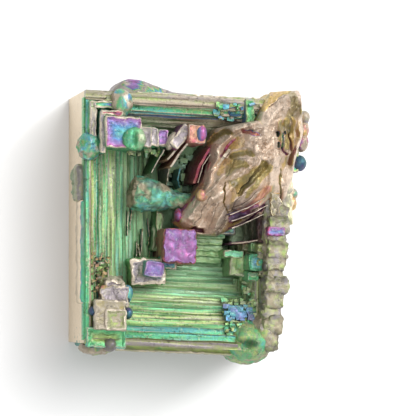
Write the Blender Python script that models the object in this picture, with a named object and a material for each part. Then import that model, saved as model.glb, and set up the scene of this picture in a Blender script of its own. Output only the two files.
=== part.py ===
"""Bismuth hopper crystal: one piece of metal, lying on the flat back that it was cast against.

The front is a deep rectangular hopper, whose four walls step down in overhanging ledges. Arms of square
blocks climb the diagonals, beads of metal that drained and froze cling to the edges, and the north-east
corner is torn metal with folded crests. The outer sides have shallow stepped hollows of their own.

Sizes are in millimetres and become metres in helper(). +Z points out of the hopper, +Y is north and +X east.
The origin is the middle of the flat back.
"""

import math
from typing import NamedTuple

import bmesh
import bpy
from mathutils import Matrix, Vector

MM = 0.001
NODE = "bismuth_crystal"

# Driving dimensions of the crystal's body
WEST, EAST = -20.1, 14.4
SOUTH, NORTH = -22.6, 22.6
SLANT = 0.045  # east to west the ledges climb north by this share
RIM_Z = 24.0
LEDGE_RISE = 1.6
LIP = 0.85  # thickness of a ledge's lip
UNDERCUT = 0.5  # how far the wall below a lip stands back
ABOVE_ALL = 40.0  # cutters open upwards to here

# Width of each ledge, from the rim down to the floor
WEST_TREADS = (1.1, 1.15, 1.35, 1.25, 1.55, 1.65, 1.4, 1.7, 2.1, 2.1)
SOUTH_TREADS = (2.4, 1.4, 1.4, 1.3, 1.4, 1.5, 1.2, 1.35, 1.3, 1.7)
EAST_TREADS = (1.7, 0.6, 0.55, 0.5, 0.5, 0.5, 0.5, 0.5, 0.5, 0.5)
NORTH_TREADS = (1.4, 1.1, 0.35, 0.8, 0.5, 1.0, 0.6, 0.65, 0.75, 0.65)

# The south-east corner is cut away behind its frozen drop
CORNER_CUTTER = 5.2
CORNER_OUT = 0.3

# Stepped hollows in the outer sides
SIDE_HOLLOWS = 5
SIDE_MARGIN = 2.4
SIDE_STEP_IN = 1.55
SIDE_STEP_DEEP = 0.62


class Block(NamedTuple):
    """A square-cut block: its spans along X, Y and Z, its turn about Z and its lean about its own length."""

    x: tuple
    y: tuple
    z: tuple
    turn: float = 0.0
    lean: float = 0.0


class Bead(NamedTuple):
    """A frozen drop of metal: centre, radii and turn about Z in degrees."""

    centre: tuple
    radii: tuple
    turn: float = 0.0


class Fin(NamedTuple):
    """A thin upright plate along a line of points, whose top falls evenly from its start to its end."""

    line: tuple
    width: float
    top: tuple
    foot: float


# Blocks of the north-west arm, from the corner inwards
NORTH_WEST_ARM = (
    Block((-19.6, -18.3), (13.6, 21.4), (12.0, 25.2)),
    Block((-19.5, -14.4), (20.1, 21.5), (14.0, 25.3)),
    Block((-17.9, -16.7), (12.2, 19.7), (13.0, 26.1)),
    Block((-17.8, -13.6), (18.7, 19.8), (13.5, 26.2)),
    Block((-17.1, -10.5), (13.0, 18.6), (12.5, 27.4)),
    Block((-10.7, -8.4), (13.25, 17.1), (12.2, 25.6)),
    Block((-8.6, -7.0), (13.4, 16.9), (12.0, 24.7)),
    Block((-7.2, -5.1), (13.6, 16.6), (11.8, 23.9)),
    Block((-2.1, 1.0), (13.9, 17.3), (15.5, 27.5)),
    Block((-5.6, -0.8), (14.2, 16.2), (17.0, 26.2), turn=53.0),
    Block((-5.9, 0.1), (11.6, 12.7), (9.5, 24.0), turn=55.0, lean=8.0),
    Block((-6.5, -1.2), (12.9, 13.4), (9.0, 25.0), turn=56.0, lean=8.0),
)

# Blocks of the south-west arm, from the corner inwards
SOUTH_WEST_ARM = (
    Block((-20.0, -12.9), (-22.4, -18.9), (8.0, 24.7)),
    Block((-18.8, -13.1), (-19.3, -13.9), (10.0, 26.0)),
    Block((-17.0, -13.0), (-19.4, -15.5), (10.0, 26.3)),
    Block((-17.3, -12.4), (-15.2, -11.4), (9.0, 24.6), turn=9.0),
    Block((-16.4, -12.6), (-11.7, -9.4), (9.0, 23.8), turn=-12.0),
    Block((-18.2, -15.4), (-12.6, -7.1), (9.5, 21.4)),
    Block((-11.6, -5.2), (-12.7, -6.6), (6.0, 19.4), turn=4.0),
    Block((-9.1, -5.5), (-9.9, -7.0), (9.0, 21.3), turn=-6.0),
    Block((-6.0, -2.9), (-8.4, -6.1), (7.0, 19.9)),
    Block((-5.8, 0.3), (-7.3, -1.2), (6.0, 22.6)),
)

# Blocks on the hopper's floor and its south-east corner, and the small ones set into the north wall
FLOOR_BLOCKS = (
    Block((0.8, 6.9), (-7.2, -5.9), (6.0, 10.9)),
    Block((0.9, 6.6), (-6.0, -4.9), (6.0, 12.1)),
    Block((0.7, 6.8), (-5.0, -3.8), (6.0, 13.2)),
    Block((0.8, 6.5), (-3.9, -2.7), (6.0, 14.4)),
    Block((0.6, 6.7), (-2.8, -1.2), (6.0, 15.7)),
    Block((-2.2, 8.4), (-1.9, 0.9), (6.0, 17.3)),
    Block((7.3, 10.9), (-9.7, -5.8), (6.0, 17.0), turn=-3.0),
    Block((6.0, 9.9), (-6.3, -4.9), (6.0, 17.6)),
    Block((10.2, 12.9), (-8.8, -5.6), (6.0, 20.0)),
    Block((10.3, 12.5), (-10.7, -8.6), (6.0, 19.0)),
    Block((8.0, 14.6), (-3.6, 1.0), (6.0, 13.5)),
    Block((7.2, 13.8), (-4.0, -3.3), (6.0, 18.6), turn=5.0),
    Block((13.1, 15.2), (-2.4, -0.4), (6.0, 22.0)),
    Block((-6.4, -4.6), (-5.1, 2.1), (6.0, 14.1), turn=-4.0),
    Block((5.9, 8.3), (19.1, 21.6), (14.0, 23.3)),
    Block((8.7, 10.4), (17.9, 22.2), (12.0, 24.8)),
    Block((10.1, 12.2), (18.0, 21.7), (12.0, 22.4)),
)

# Ledges that stand proud of the outer sides
OUTER_LEDGES = (
    Block((-22.0, -19.6), (3.3, 10.6), (15.6, 22.3)),
    Block((-21.2, -19.7), (-14.6, 3.6), (17.1, 23.1)),
    Block((-14.2, 8.2), (-23.5, -22.1), (17.2, 20.3)),
    Block((-10.5, 14.1), (21.9, 23.0), (19.0, 21.8)),
    Block((12.2, 18.5), (-0.4, 22.2), (4.0, 21.0)),
    Block((12.4, 17.3), (1.7, 20.1), (0.9, 4.3)),
    Block((17.4, 20.1), (9.4, 20.9), (12.6, 17.6)),
)

# Square hollows sunk in the tops of blocks
HOLLOWS = (
    Block((-16.7, -10.9), (13.4, 18.2), (26.7, ABOVE_ALL)),
    Block((-16.7, -13.4), (-18.9, -15.6), (25.3, ABOVE_ALL)),
    Block((-16.3, -13.9), (-18.5, -16.1), (24.7, ABOVE_ALL + 1)),
    Block((-5.3, -0.2), (-6.8, -1.7), (22.0, ABOVE_ALL)),
    Block((-8.6, -6.0), (-9.4, -7.5), (20.7, ABOVE_ALL), turn=-6.0),
    Block((10.7, 12.4), (-8.3, -6.1), (19.3, ABOVE_ALL)),
    Block((-19.4, -13.6), (-21.8, -19.5), (23.9, ABOVE_ALL)),
    Block((7.9, 13.0), (-17.1, -15.3), (14.6, ABOVE_ALL)),
)

BEADS = (
    Bead((-19.5, 13.4, 23.6), (2.3, 2.5, 2.2)),
    Bead((-13.8, 21.4, 24.6), (2.0, 2.3, 1.9)),
    Bead((-15.7, -21.9, 23.6), (1.3, 1.25, 1.5)),
    Bead((-18.8, -15.9, 24.2), (0.9, 0.9, 1.0)),
    Bead((-11.9, -16.3, 19.8), (0.9, 1.1, 1.6)),
    Bead((-17.9, -22.5, 20.4), (3.2, 1.3, 3.0)),
    Bead((-12.4, 14.9, 27.2), (1.9, 2.0, 1.3)),
    Bead((-4.8, 14.7, 24.2), (0.9, 1.6, 1.7)),
    Bead((0.3, 15.8, 27.1), (0.9, 1.3, 1.2)),
    Bead((0.9, 4.8, 23.4), (1.15, 1.2, 1.3)),
    Bead((-2.5, 1.4, 18.2), (0.8, 1.4, 1.6)),
    Bead((-12.4, -12.8, 22.9), (1.0, 1.6, 1.0)),
    Bead((13.7, -7.8, 20.4), (0.9, 1.0, 1.3)),
    Bead((10.2, -21.7, 15.6), (4.9, 4.2, 8.3)),
    Bead((12.9, -19.6, 14.8), (3.5, 4.4, 9.0)),
    Bead((18.6, 4.8, 17.4), (1.3, 1.5, 1.7)),
    Bead((20.2, 11.1, 16.6), (1.5, 1.6, 1.7)),
    Bead((20.9, 19.6, 17.6), (1.2, 1.3, 1.4)),
    Bead((20.7, 16.3, 17.0), (1.5, 3.2, 1.9)),
)

# The club: a drop drawn out from the torn corner, as radius against the distance from its blunt end
CLUB_AXIS = ((-11.4, 5.6, 18.0), (2.6, 3.4, 16.6))
CLUB_PROFILE = ((0.15, 2.5), (0.9, 3.1), (2.6, 3.2), (5.0, 2.7), (7.6, 1.9), (10.4, 1.5), (14.0, 1.4))
CLUB_SIDES = 14

FINS = (
    Fin(((3.7, 14.4), (2.4, 13.0), (0.8, 10.3), (0.1, 7.2)), 0.45, (24.2, 19.2), 7.4),
    Fin(((4.5, 13.4), (2.6, 10.4), (1.7, 7.0)), 0.5, (25.0, 19.8), 7.3),
    Fin(((5.6, 13.0), (3.7, 10.2), (2.6, 6.1)), 1.0, (26.0, 21.0), 7.2),
    Fin(((-4.4, 10.1), (-4.4, 6.6)), 0.4, (20.0, 17.0), 7.4),
    Fin(((-2.0, 9.9), (-2.3, 7.9), (-1.6, 6.5)), 0.45, (17.6, 15.4), 7.3),
    Fin(((-5.9, 2.4), (-6.1, 0.0), (-5.6, -2.4)), 0.4, (16.6, 15.2), 7.2),
)

# The arched plate behind the north side, as an outline at its own height
ARCH_OUTLINE = (
    (-14.2, 18.2), (-14.3, 23.3), (-13.5, 24.7), (-12.3, 25.8), (-10.7, 26.3), (-9.1, 26.1),
    (-7.1, 25.1), (-4.9, 24.1), (-2.4, 23.5), (3.4, 23.2), (3.6, 18.1),
)  # fmt: skip
ARCH_Z = (7.5, 15.5)
ARCH_BEVEL = 1.5

# Scallops down the east side: middle along Y, reach in X, half width and top
SCALLOPS = (
    (-21.6, 14.6, 2.3, 21.5), (-18.4, 15.8, 2.3, 23.4), (-14.7, 16.0, 2.2, 24.4), (-11.2, 16.9, 2.0, 24.9),
    (-8.1, 16.4, 1.9, 24.6), (-5.1, 16.6, 1.8, 25.0), (-1.9, 16.5, 1.9, 24.5), (1.2, 17.0, 1.8, 22.8),
)  # fmt: skip
SCALLOP_SIDES = 12

# The torn corner: facing edges of its outline, listed in step from its tip to its south-west end
TORN_NORTH_WEST = (
    (13.4, 23.5), (11.8, 21.2), (10.5, 18.2), (7.3, 17.7), (3.8, 16.9), (2.3, 14.6),
    (2.4, 11.1), (1.4, 7.6), (-0.4, 4.6), (-2.0, 2.4), (-3.2, 0.1),
)  # fmt: skip
TORN_SOUTH_EAST = (
    (18.1, 23.7), (18.8, 20.5), (19.6, 16.6), (18.8, 12.9), (17.8, 9.3), (16.8, 4.9),
    (15.9, 0.2), (12.0, -0.6), (7.5, -1.3), (3.3, -2.3), (-1.0, -1.9),
)  # fmt: skip
TORN_FOOT = 12.5
TORN_ROWS, TORN_COLUMNS = 30, 20

# Crests of the torn corner as (x, y, z) points, each with how steeply the metal falls away from it
CRESTS = (
    (((17.4, 22.9, 29.6), (14.0, 20.0, 28.4), (11.0, 17.2, 29.4), (10.1, 12.9, 29.8), (8.2, 10.2, 28.0),
      (4.8, 7.9, 26.6), (1.6, 4.9, 24.6), (-0.5, 1.5, 21.6)), 1.5),
    (((18.4, 21.8, 28.0), (18.6, 17.6, 26.4), (18.1, 13.0, 25.8), (16.9, 6.1, 24.0), (15.4, 0.8, 20.6)), 1.9),
    (((11.1, 11.0, 29.0), (9.3, 6.6, 27.2), (5.8, 3.1, 25.0), (3.9, -0.8, 21.6)), 1.7),
    (((10.8, 16.9, 28.8), (6.4, 16.6, 27.8), (3.6, 13.2, 26.4), (2.4, 8.4, 23.8)), 2.2),
    (((12.6, 11.6, 28.6), (13.4, 7.6, 25.6), (11.2, 2.6, 23.6), (10.4, 0.3, 20.4)), 1.2),
    (((14.0, 18.6, 27.2), (14.9, 14.4, 26.6), (14.6, 11.8, 27.0)), 2.4),
)  # fmt: skip
CREST_SHARPNESS = 0.8  # below 1, the metal hollows between crests
CREST_RADIUS = 0.7
CREST_BLEND = 2.2  # how tightly crests join, per millimetre
TORN_FLOOR = 19.2
TORN_EDGE_DROP = 2.2  # how far the surface rolls down at the outline
TORN_EDGE_WIDTH = 0.1  # as a share of the distance across

METAL = (0.42, 0.55, 0.44, 1.0)


# --------------------------------------------------------------------------- meshes


def slant(bm, about_x=0.0):
    """Slants a mesh with the crystal's ledges, leaving the points at about_x where they are."""
    for vert in bm.verts:
        vert.co.y -= SLANT * (vert.co.x - about_x)
    return bm


def helper(name, bm, collection):
    """Keeps a closed mesh as a hidden operand for a Boolean."""
    bmesh.ops.recalc_face_normals(bm, faces=bm.faces)
    mesh = bpy.data.meshes.new(name)
    bm.to_mesh(mesh)
    bm.free()
    mesh.transform(Matrix.Scale(MM, 4))
    obj = bpy.data.objects.new(name, mesh)
    obj.hide_render = True
    obj.display_type = "WIRE"
    collection.objects.link(obj)
    return obj


def centred_turn(middle, turn, lean=0.0):
    """A turn about Z, after a lean about the block's own length, both about its middle."""
    spin = Matrix.Rotation(math.radians(turn), 4, "Z") @ Matrix.Rotation(math.radians(lean), 4, "X")
    return Matrix.Translation(middle) @ spin @ Matrix.Translation(-middle)


def block_mesh(block):
    """A box with the block's spans."""
    low = Vector((block.x[0], block.y[0], block.z[0]))
    high = Vector((block.x[1], block.y[1], block.z[1]))
    bm = bmesh.new()
    bmesh.ops.create_cube(bm, size=1.0)
    bmesh.ops.scale(bm, vec=high - low, verts=bm.verts)
    bmesh.ops.translate(bm, vec=(low + high) / 2, verts=bm.verts)
    bmesh.ops.transform(bm, matrix=centred_turn((low + high) / 2, block.turn, block.lean), verts=bm.verts)
    return bm


def bead_mesh(bead):
    """A faceted ball stretched to the bead's radii."""
    bm = bmesh.new()
    bmesh.ops.create_icosphere(bm, subdivisions=2, radius=1.0)
    bmesh.ops.scale(bm, vec=bead.radii, verts=bm.verts)
    bmesh.ops.rotate(bm, matrix=Matrix.Rotation(math.radians(bead.turn + 7.0), 3, "Z"), verts=bm.verts)
    bmesh.ops.translate(bm, vec=bead.centre, verts=bm.verts)
    return bm


def ring(bm, centre, across, up, radius, sides):
    """A loop of vertices round centre, in the plane of across and up."""
    angles = (2 * math.pi * i / sides for i in range(sides))
    return [bm.verts.new(centre + radius * (math.cos(a) * across + math.sin(a) * up)) for a in angles]


def skin(bm, loops):
    """Joins loops of vertices in order and caps both ends."""
    for first, second in zip(loops, loops[1:]):
        for i in range(len(first)):
            j = (i + 1) % len(first)
            bm.faces.new((first[i], first[j], second[j], second[i]))
    bm.faces.new(loops[0][::-1])
    bm.faces.new(loops[-1])
    return bm


def club_mesh():
    """The club, turned about its axis."""
    start, end = (Vector(p) for p in CLUB_AXIS)
    along = (end - start).normalized()
    across = along.cross(Vector((0, 0, 1))).normalized()
    up = across.cross(along)
    bm = bmesh.new()
    return skin(bm, [ring(bm, start + d * along, across, up, r, CLUB_SIDES) for d, r in CLUB_PROFILE])


def fin_mesh(fin):
    """An upright plate of even width along the fin's line."""
    points = [Vector((*p, 0.0)) for p in fin.line]
    bm = bmesh.new()
    loops = []
    for i, point in enumerate(points):
        ahead, behind = points[min(i + 1, len(points) - 1)], points[max(i - 1, 0)]
        side = (ahead - behind).normalized().cross(Vector((0, 0, 1))) * (fin.width / 2)
        share = i / (len(points) - 1)
        top = fin.top[0] + (fin.top[1] - fin.top[0]) * share
        corners = ((side, fin.foot), (-side, fin.foot), (-side * 0.7, top), (side * 0.7, top))
        loops.append([bm.verts.new((point.x + s.x, point.y + s.y, z)) for s, z in corners])
    return skin(bm, loops)


def arch_mesh():
    """The arched plate, with its upper and lower edges rounded over in two steps."""
    low, high = ARCH_Z
    middle = sum((Vector(p) for p in ARCH_OUTLINE), Vector((0, 0))) / len(ARCH_OUTLINE)
    bm = bmesh.new()

    def level(z, inset):
        """One outline, drawn in towards the plate's middle."""
        points = []
        for p in ARCH_OUTLINE:
            away = (Vector(p) - middle).normalized()
            points.append(bm.verts.new((p[0] - away.x * inset, p[1] - away.y * inset, z)))
        return points

    drop = ARCH_BEVEL
    loops = [level(low, drop), level(low + drop, 0.0), level(high - drop * 1.6, 0.0)]
    loops += [level(high - drop * 0.6, drop * 0.4), level(high, drop * 1.1)]
    return skin(bm, loops)


def scallop_mesh(middle_y, reach, half_width, top):
    """A rounded column down the east side, domed at its top and tucked in at its foot."""
    bm = bmesh.new()
    centre_x = reach - half_width
    levels = ((0.6, 0.75), (2.4, 0.92), (top * 0.55, 1.0), (top - 2.0, 0.94), (top - 0.7, 0.72), (top, 0.35))
    across, up = Vector((1, 0, 0)), Vector((0, 1, 0))
    loops = []
    for z, share in levels:
        loop = ring(bm, Vector((centre_x, middle_y, z)), across * 1.05, up, half_width * share, SCALLOP_SIDES)
        loops.append(loop)
    return skin(bm, loops)


# --------------------------------------------------------------------------- the torn corner


def distance_to_line(point, line):
    """Distance in plan from point to a crest, and the crest's height at the nearest place."""
    nearest, height = math.inf, 0.0
    for (ax, ay, az), (bx, by, bz) in zip(line, line[1:]):
        dx, dy = bx - ax, by - ay
        share = ((point.x - ax) * dx + (point.y - ay) * dy) / (dx * dx + dy * dy)
        share = min(1.0, max(0.0, share))
        away = math.hypot(point.x - ax - share * dx, point.y - ay - share * dy)
        if away < nearest:
            nearest, height = away, az + (bz - az) * share
    return nearest, height


def torn_height(point):
    """Height of the torn metal: the highest of the floor and the crests' falling sides, blended together."""
    total = math.exp(CREST_BLEND * TORN_FLOOR)
    for line, fall in CRESTS:
        away, top = distance_to_line(point, line)
        away = math.hypot(away, CREST_RADIUS) - CREST_RADIUS
        total += math.exp(CREST_BLEND * (top - fall * away**CREST_SHARPNESS))
    return math.log(total) / CREST_BLEND


def along_edge(edge, share):
    """The point a share of the way down a list of evenly counted points."""
    place = share * (len(edge) - 1)
    i = min(int(place), len(edge) - 2)
    return Vector(edge[i]).lerp(Vector(edge[i + 1]), place - i)


def torn_mesh():
    """The torn corner: crests above, rolled down at the outline, with upright sides and a flat foot."""
    bm = bmesh.new()
    grid = []
    for row in range(TORN_ROWS + 1):
        share = row / TORN_ROWS
        first, last = along_edge(TORN_NORTH_WEST, share), along_edge(TORN_SOUTH_EAST, share)
        line = []
        for column in range(TORN_COLUMNS + 1):
            across = column / TORN_COLUMNS
            point = first.lerp(last, across)
            inward = min(across, 1 - across, share, 1 - share) / TORN_EDGE_WIDTH
            drop = TORN_EDGE_DROP * max(0.0, 1 - inward) ** 2
            line.append(bm.verts.new((point.x, point.y, torn_height(point) - drop)))
        grid.append(line)
    for near, far in zip(grid, grid[1:]):
        for i in range(TORN_COLUMNS):
            bm.faces.new((near[i], near[i + 1], far[i + 1], far[i]))
    west, east = [line[0] for line in grid], [line[-1] for line in grid]
    rim = grid[0][:-1] + east[:-1] + grid[-1][:0:-1] + west[:0:-1]
    foot = [bm.verts.new((v.co.x, v.co.y, TORN_FOOT)) for v in rim]
    for i in range(len(rim)):
        j = (i + 1) % len(rim)
        bm.faces.new((rim[j], rim[i], foot[i], foot[j]))
    bm.faces.new(foot)
    bmesh.ops.triangulate(bm, faces=bm.faces)
    return bm


# --------------------------------------------------------------------------- the crystal


def hopper_cutters():
    """For each ledge, a box down to its lip's underside and a wider one below the lip."""
    west, east, south, north = WEST, EAST, SOUTH, NORTH
    for level in range(len(WEST_TREADS)):
        west += WEST_TREADS[level]
        east -= EAST_TREADS[level]
        south += SOUTH_TREADS[level]
        north -= NORTH_TREADS[level]
        top = RIM_Z - level * LEDGE_RISE
        below = top - LEDGE_RISE
        yield Block((west, east), (south, north), (below + 0.3, ABOVE_ALL + level))
        wide = (west - UNDERCUT, east + UNDERCUT), (south - UNDERCUT, north + UNDERCUT)
        yield Block(*wide, (below, top - LIP))


def corner_cutter():
    """A square turned on its point, which takes the body's sharp south-east corner off under the drop."""
    half = CORNER_CUTTER / 2
    x, y = EAST + CORNER_OUT, SOUTH - CORNER_OUT
    return Block((x - half, x + half), (y - half, y + half), (-1.0, ABOVE_ALL), turn=45.0)


def side_cutters():
    """Shallow square hollows, one inside the other, in the south, north and lower east sides."""
    for step in range(SIDE_HOLLOWS):
        inset = SIDE_MARGIN + step * SIDE_STEP_IN
        deep = (step + 1) * SIDE_STEP_DEEP
        up = (inset * 0.72, RIM_Z - 4.2 - inset * 0.62)
        yield Block((WEST + inset + 1.0, EAST - inset - 5.0), (SOUTH - 9 - step * 0.1, SOUTH + deep), up)
        yield Block((WEST + inset, EAST - inset), (NORTH - deep, NORTH + 9 + step * 0.1), up)


def add_boolean(obj, name, operation, collection):
    """A Boolean with every object of a collection."""
    modifier = obj.modifiers.new(name, "BOOLEAN")
    modifier.operation = operation
    modifier.operand_type = "COLLECTION"
    modifier.collection = collection
    modifier.solver = "EXACT"


def new_collection(name):
    """A collection linked to the scene."""
    collection = bpy.data.collections.new(name)
    bpy.context.scene.collection.children.link(collection)
    return collection


def metal():
    """Oxide-tinted bismuth."""
    material = bpy.data.materials.new("oxidised_bismuth")
    material.use_nodes = True
    shader = material.node_tree.nodes["Principled BSDF"]
    shader.inputs["Base Color"].default_value = METAL
    shader.inputs["Metallic"].default_value = 0.85
    shader.inputs["Roughness"].default_value = 0.34
    return material


def main():
    """Clears the scene and grows the crystal."""
    for obj in list(bpy.data.objects):
        bpy.data.objects.remove(obj)

    cutters = new_collection("cutters")
    growth = new_collection("growth")
    hollows = new_collection("hollows")

    for i, block in enumerate([*hopper_cutters(), *side_cutters(), corner_cutter()]):
        helper(f"cut_{i}", slant(block_mesh(block)), cutters)
    for i, block in enumerate(OUTER_LEDGES):
        helper(f"ledge_{i}", slant(block_mesh(block)), growth)
    for i, block in enumerate((*NORTH_WEST_ARM, *SOUTH_WEST_ARM, *FLOOR_BLOCKS)):
        helper(f"block_{i}", slant(block_mesh(block), sum(block.x) / 2), growth)
    for i, bead in enumerate(BEADS):
        helper(f"bead_{i}", bead_mesh(bead), growth)
    for i, fin in enumerate(FINS):
        helper(f"fin_{i}", fin_mesh(fin), growth)
    for i, scallop in enumerate(SCALLOPS):
        helper(f"scallop_{i}", scallop_mesh(*scallop), growth)
    helper("club", club_mesh(), growth)
    helper("arch", arch_mesh(), growth)
    helper("torn_corner", torn_mesh(), growth)
    for i, block in enumerate(HOLLOWS):
        helper(f"hollow_{i}", slant(block_mesh(block), sum(block.x) / 2), hollows)

    body = slant(block_mesh(Block((WEST, EAST), (SOUTH, NORTH), (0.0, RIM_Z))))
    crystal = helper(NODE, body, bpy.context.scene.collection)
    crystal.hide_render = False
    crystal.display_type = "TEXTURED"
    crystal.data.materials.append(metal())
    add_boolean(crystal, "step the hopper down", "DIFFERENCE", cutters)
    add_boolean(crystal, "grow the arms", "UNION", growth)
    add_boolean(crystal, "sink the blocks", "DIFFERENCE", hollows)


main()
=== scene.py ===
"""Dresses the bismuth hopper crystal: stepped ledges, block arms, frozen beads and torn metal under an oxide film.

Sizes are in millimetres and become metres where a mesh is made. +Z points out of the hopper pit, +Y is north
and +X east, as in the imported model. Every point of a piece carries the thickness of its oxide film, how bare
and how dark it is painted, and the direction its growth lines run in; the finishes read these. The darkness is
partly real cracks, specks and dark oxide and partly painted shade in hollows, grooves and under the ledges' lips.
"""

import functools
import itertools
import logging
import math
from collections.abc import Callable, Iterable, Sequence
from dataclasses import dataclass
from enum import Enum

import bmesh
import bpy
import numpy as np
from mathutils import Matrix, Vector


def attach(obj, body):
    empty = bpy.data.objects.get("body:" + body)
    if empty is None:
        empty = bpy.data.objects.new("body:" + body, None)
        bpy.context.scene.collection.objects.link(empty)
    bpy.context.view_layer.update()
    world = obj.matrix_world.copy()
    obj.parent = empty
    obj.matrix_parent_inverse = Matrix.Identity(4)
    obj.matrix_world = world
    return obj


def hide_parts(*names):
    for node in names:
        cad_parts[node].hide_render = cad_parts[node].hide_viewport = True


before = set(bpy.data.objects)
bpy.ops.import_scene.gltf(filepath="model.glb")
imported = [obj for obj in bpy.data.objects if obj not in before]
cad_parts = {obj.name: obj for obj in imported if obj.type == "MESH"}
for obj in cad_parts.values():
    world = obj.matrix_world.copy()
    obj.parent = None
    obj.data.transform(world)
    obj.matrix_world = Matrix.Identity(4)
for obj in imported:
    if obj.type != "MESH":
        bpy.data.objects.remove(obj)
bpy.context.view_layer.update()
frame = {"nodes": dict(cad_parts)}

log = logging.getLogger("bismuth")
MM = 0.001
NODE = "bismuth_crystal"
SLANT = 0.045  # how far the crystal's ledges shift south for each unit east
SQUARE = ((0, 0), (1, 0), (1, 1), (0, 1))

Array = np.ndarray
Faces = list[tuple[int, ...]]
Point2 = tuple[float, float]
Point3 = tuple[float, float, float]
Colour = tuple[int, int, int]
Material = bpy.types.Material
Mesh = bpy.types.Mesh
Node = bpy.types.Node
NodeTree = bpy.types.NodeTree
Object = bpy.types.Object
Socket = bpy.types.NodeSocket


class Film(float, Enum):
    """Oxide film thickness, as a place along the run of colours that it gives, and its colour there."""

    SILVER = 0.0, (176, 166, 150)
    OLIVE = 0.05, (158, 146, 96)
    GOLD = 0.1, (204, 176, 112)
    ROSE = 0.19, (192, 140, 122)
    CRIMSON = 0.23, (172, 66, 92)
    MAGENTA = 0.27, (166, 102, 154)
    VIOLET = 0.35, (134, 116, 168)
    BLUE = 0.44, (88, 128, 172)
    CYAN = 0.53, (92, 162, 168)
    TEAL = 0.6, (98, 166, 148)
    EMERALD = 0.67, (90, 174, 122)
    GREEN = 0.75, (122, 170, 112)
    LIME = 0.84, (166, 182, 108)
    STRAW = 0.92, (170, 168, 136)
    LILAC = 1.0, (158, 148, 156)

    def __new__(cls, place: float, colour: Colour) -> "Film":
        """Makes a film of its place, with its colour beside it."""
        film = float.__new__(cls, place)
        film._value_ = place
        film.colour = colour
        return film


SILVER, OLIVE, GOLD, ROSE, CRIMSON, MAGENTA, VIOLET, BLUE, CYAN, TEAL, EMERALD, GREEN, LIME, STRAW, LILAC = Film


# --------------------------------------------------------------------------- shapes


def lattice_noise(places: Array, seed: int = 0) -> Array:
    """Smooth noise.

    Args:
        places: One row of three coordinates for each value.
        seed: Chooses the pattern.

    Returns:
        Values between -1 and 1.
    """
    cell = np.floor(places).astype(np.int64)
    part = places - cell
    part = part * part * (3 - 2 * part)
    total = np.zeros(len(places))
    for corner in itertools.product((0, 1), repeat=3):
        x, y, z = (cell + corner).T
        mixed = (x * 73856093) ^ (y * 19349663) ^ (z * 83492791) ^ (seed * 265443576)
        mixed = (mixed ^ (mixed >> 13)) * 1274126177
        value = ((mixed >> 5) & 0xFFFF) / 0x7FFF - 1.0
        total += value * np.prod(np.where(corner, part, 1 - part), axis=1)
    return total


def rough_noise(places: Array, seed: int = 0, layers: int = 3) -> Array:
    """Noise with finer noise added, each layer half as strong and twice as fine."""
    return sum(lattice_noise(places * 2**i, seed + i) / 2**i for i in range(layers))


def ease(low: float, high: float, value: Array) -> Array:
    """Climbs smoothly from 0 at low to 1 at high."""
    share = np.clip((value - low) / (high - low), 0, 1)
    return share * share * (3 - 2 * share)


def one_long(vectors: Array) -> Array:
    """Vectors in the same directions with a length of 1."""
    return vectors / np.linalg.norm(vectors, axis=1, keepdims=True)


@dataclass
class Shape:
    """Closed shells in millimetres, with the finish of every point."""

    co: Array
    faces: Faces
    film: Array | float = 0.0
    bare: Array | float = 0.0
    dark: Array | float = 0.0
    grain: Array | None = None

    def __post_init__(self) -> None:
        """Spreads the finish over all points."""
        self.paint(self.film, self.bare, self.dark)
        if self.grain is None:
            self.grain = self.co.copy()

    def paint(self, film: Array | float, bare: Array | float = 0.0, dark: Array | float = 0.0) -> "Shape":
        """Sets the film, the bareness and the darkness of all points."""
        self.film, self.bare, self.dark = (np.zeros(len(self.co)) + value for value in (film, bare, dark))
        return self

    def roughen(self, size: float, pitch: float, seed: int = 0, upright: float = 1.0) -> "Shape":
        """Pushes points about by noise.

        Args:
            size: The furthest a point moves.
            pitch: The distance between bumps.
            seed: Chooses the pattern.
            upright: Share of the push that goes into Z.

        Returns:
            The shape itself.
        """
        push = np.stack([rough_noise(self.co / pitch, seed + 7 * i) for i in range(3)], axis=1)
        self.co = self.co + push * size * (1, 1, upright)
        return self

    def turn(self, degrees: float, middle: Sequence[float], axis: str = "Z") -> "Shape":
        """Turns the shape about an axis through its middle."""
        spin = np.array(Matrix.Rotation(math.radians(degrees), 3, axis))
        self.co = (self.co - middle) @ spin.T + middle
        return self


def joined(shapes: Iterable[Shape]) -> Shape:
    """Several shapes as one."""
    shapes = list(shapes)
    faces: Faces = []
    start = 0
    for shape in shapes:
        faces += [tuple(i + start for i in face) for face in shape.faces]
        start += len(shape.co)
    names = ("co", "film", "bare", "dark", "grain")
    co, *finish = (np.concatenate([getattr(shape, name) for shape in shapes]) for name in names)
    return Shape(co, faces, *finish)


def box_grid(nx: int, ny: int, nz: int) -> tuple[Array, Faces]:
    """A closed box from -1 to 1, divided on every side.

    Args:
        nx: Divisions along X.
        ny: Divisions along Y.
        nz: Divisions along Z.

    Returns:
        Its points and faces.
    """
    counts = (nx, ny, nz)
    index: dict[tuple[int, ...], int] = {}
    faces: Faces = []
    for axis, far in itertools.product(range(3), (False, True)):
        u, v = (axis + 1) % 3, (axis + 2) % 3
        for i, j in itertools.product(range(counts[u]), range(counts[v])):
            loop = []
            for di, dj in SQUARE:
                key = [0, 0, 0]
                key[axis], key[u], key[v] = far * counts[axis], i + di, j + dj
                loop.append(index.setdefault(tuple(key), len(index)))
            faces.append(tuple(loop if far else loop[::-1]))
    return np.array(list(index), float) / counts * 2 - 1, faces


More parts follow.
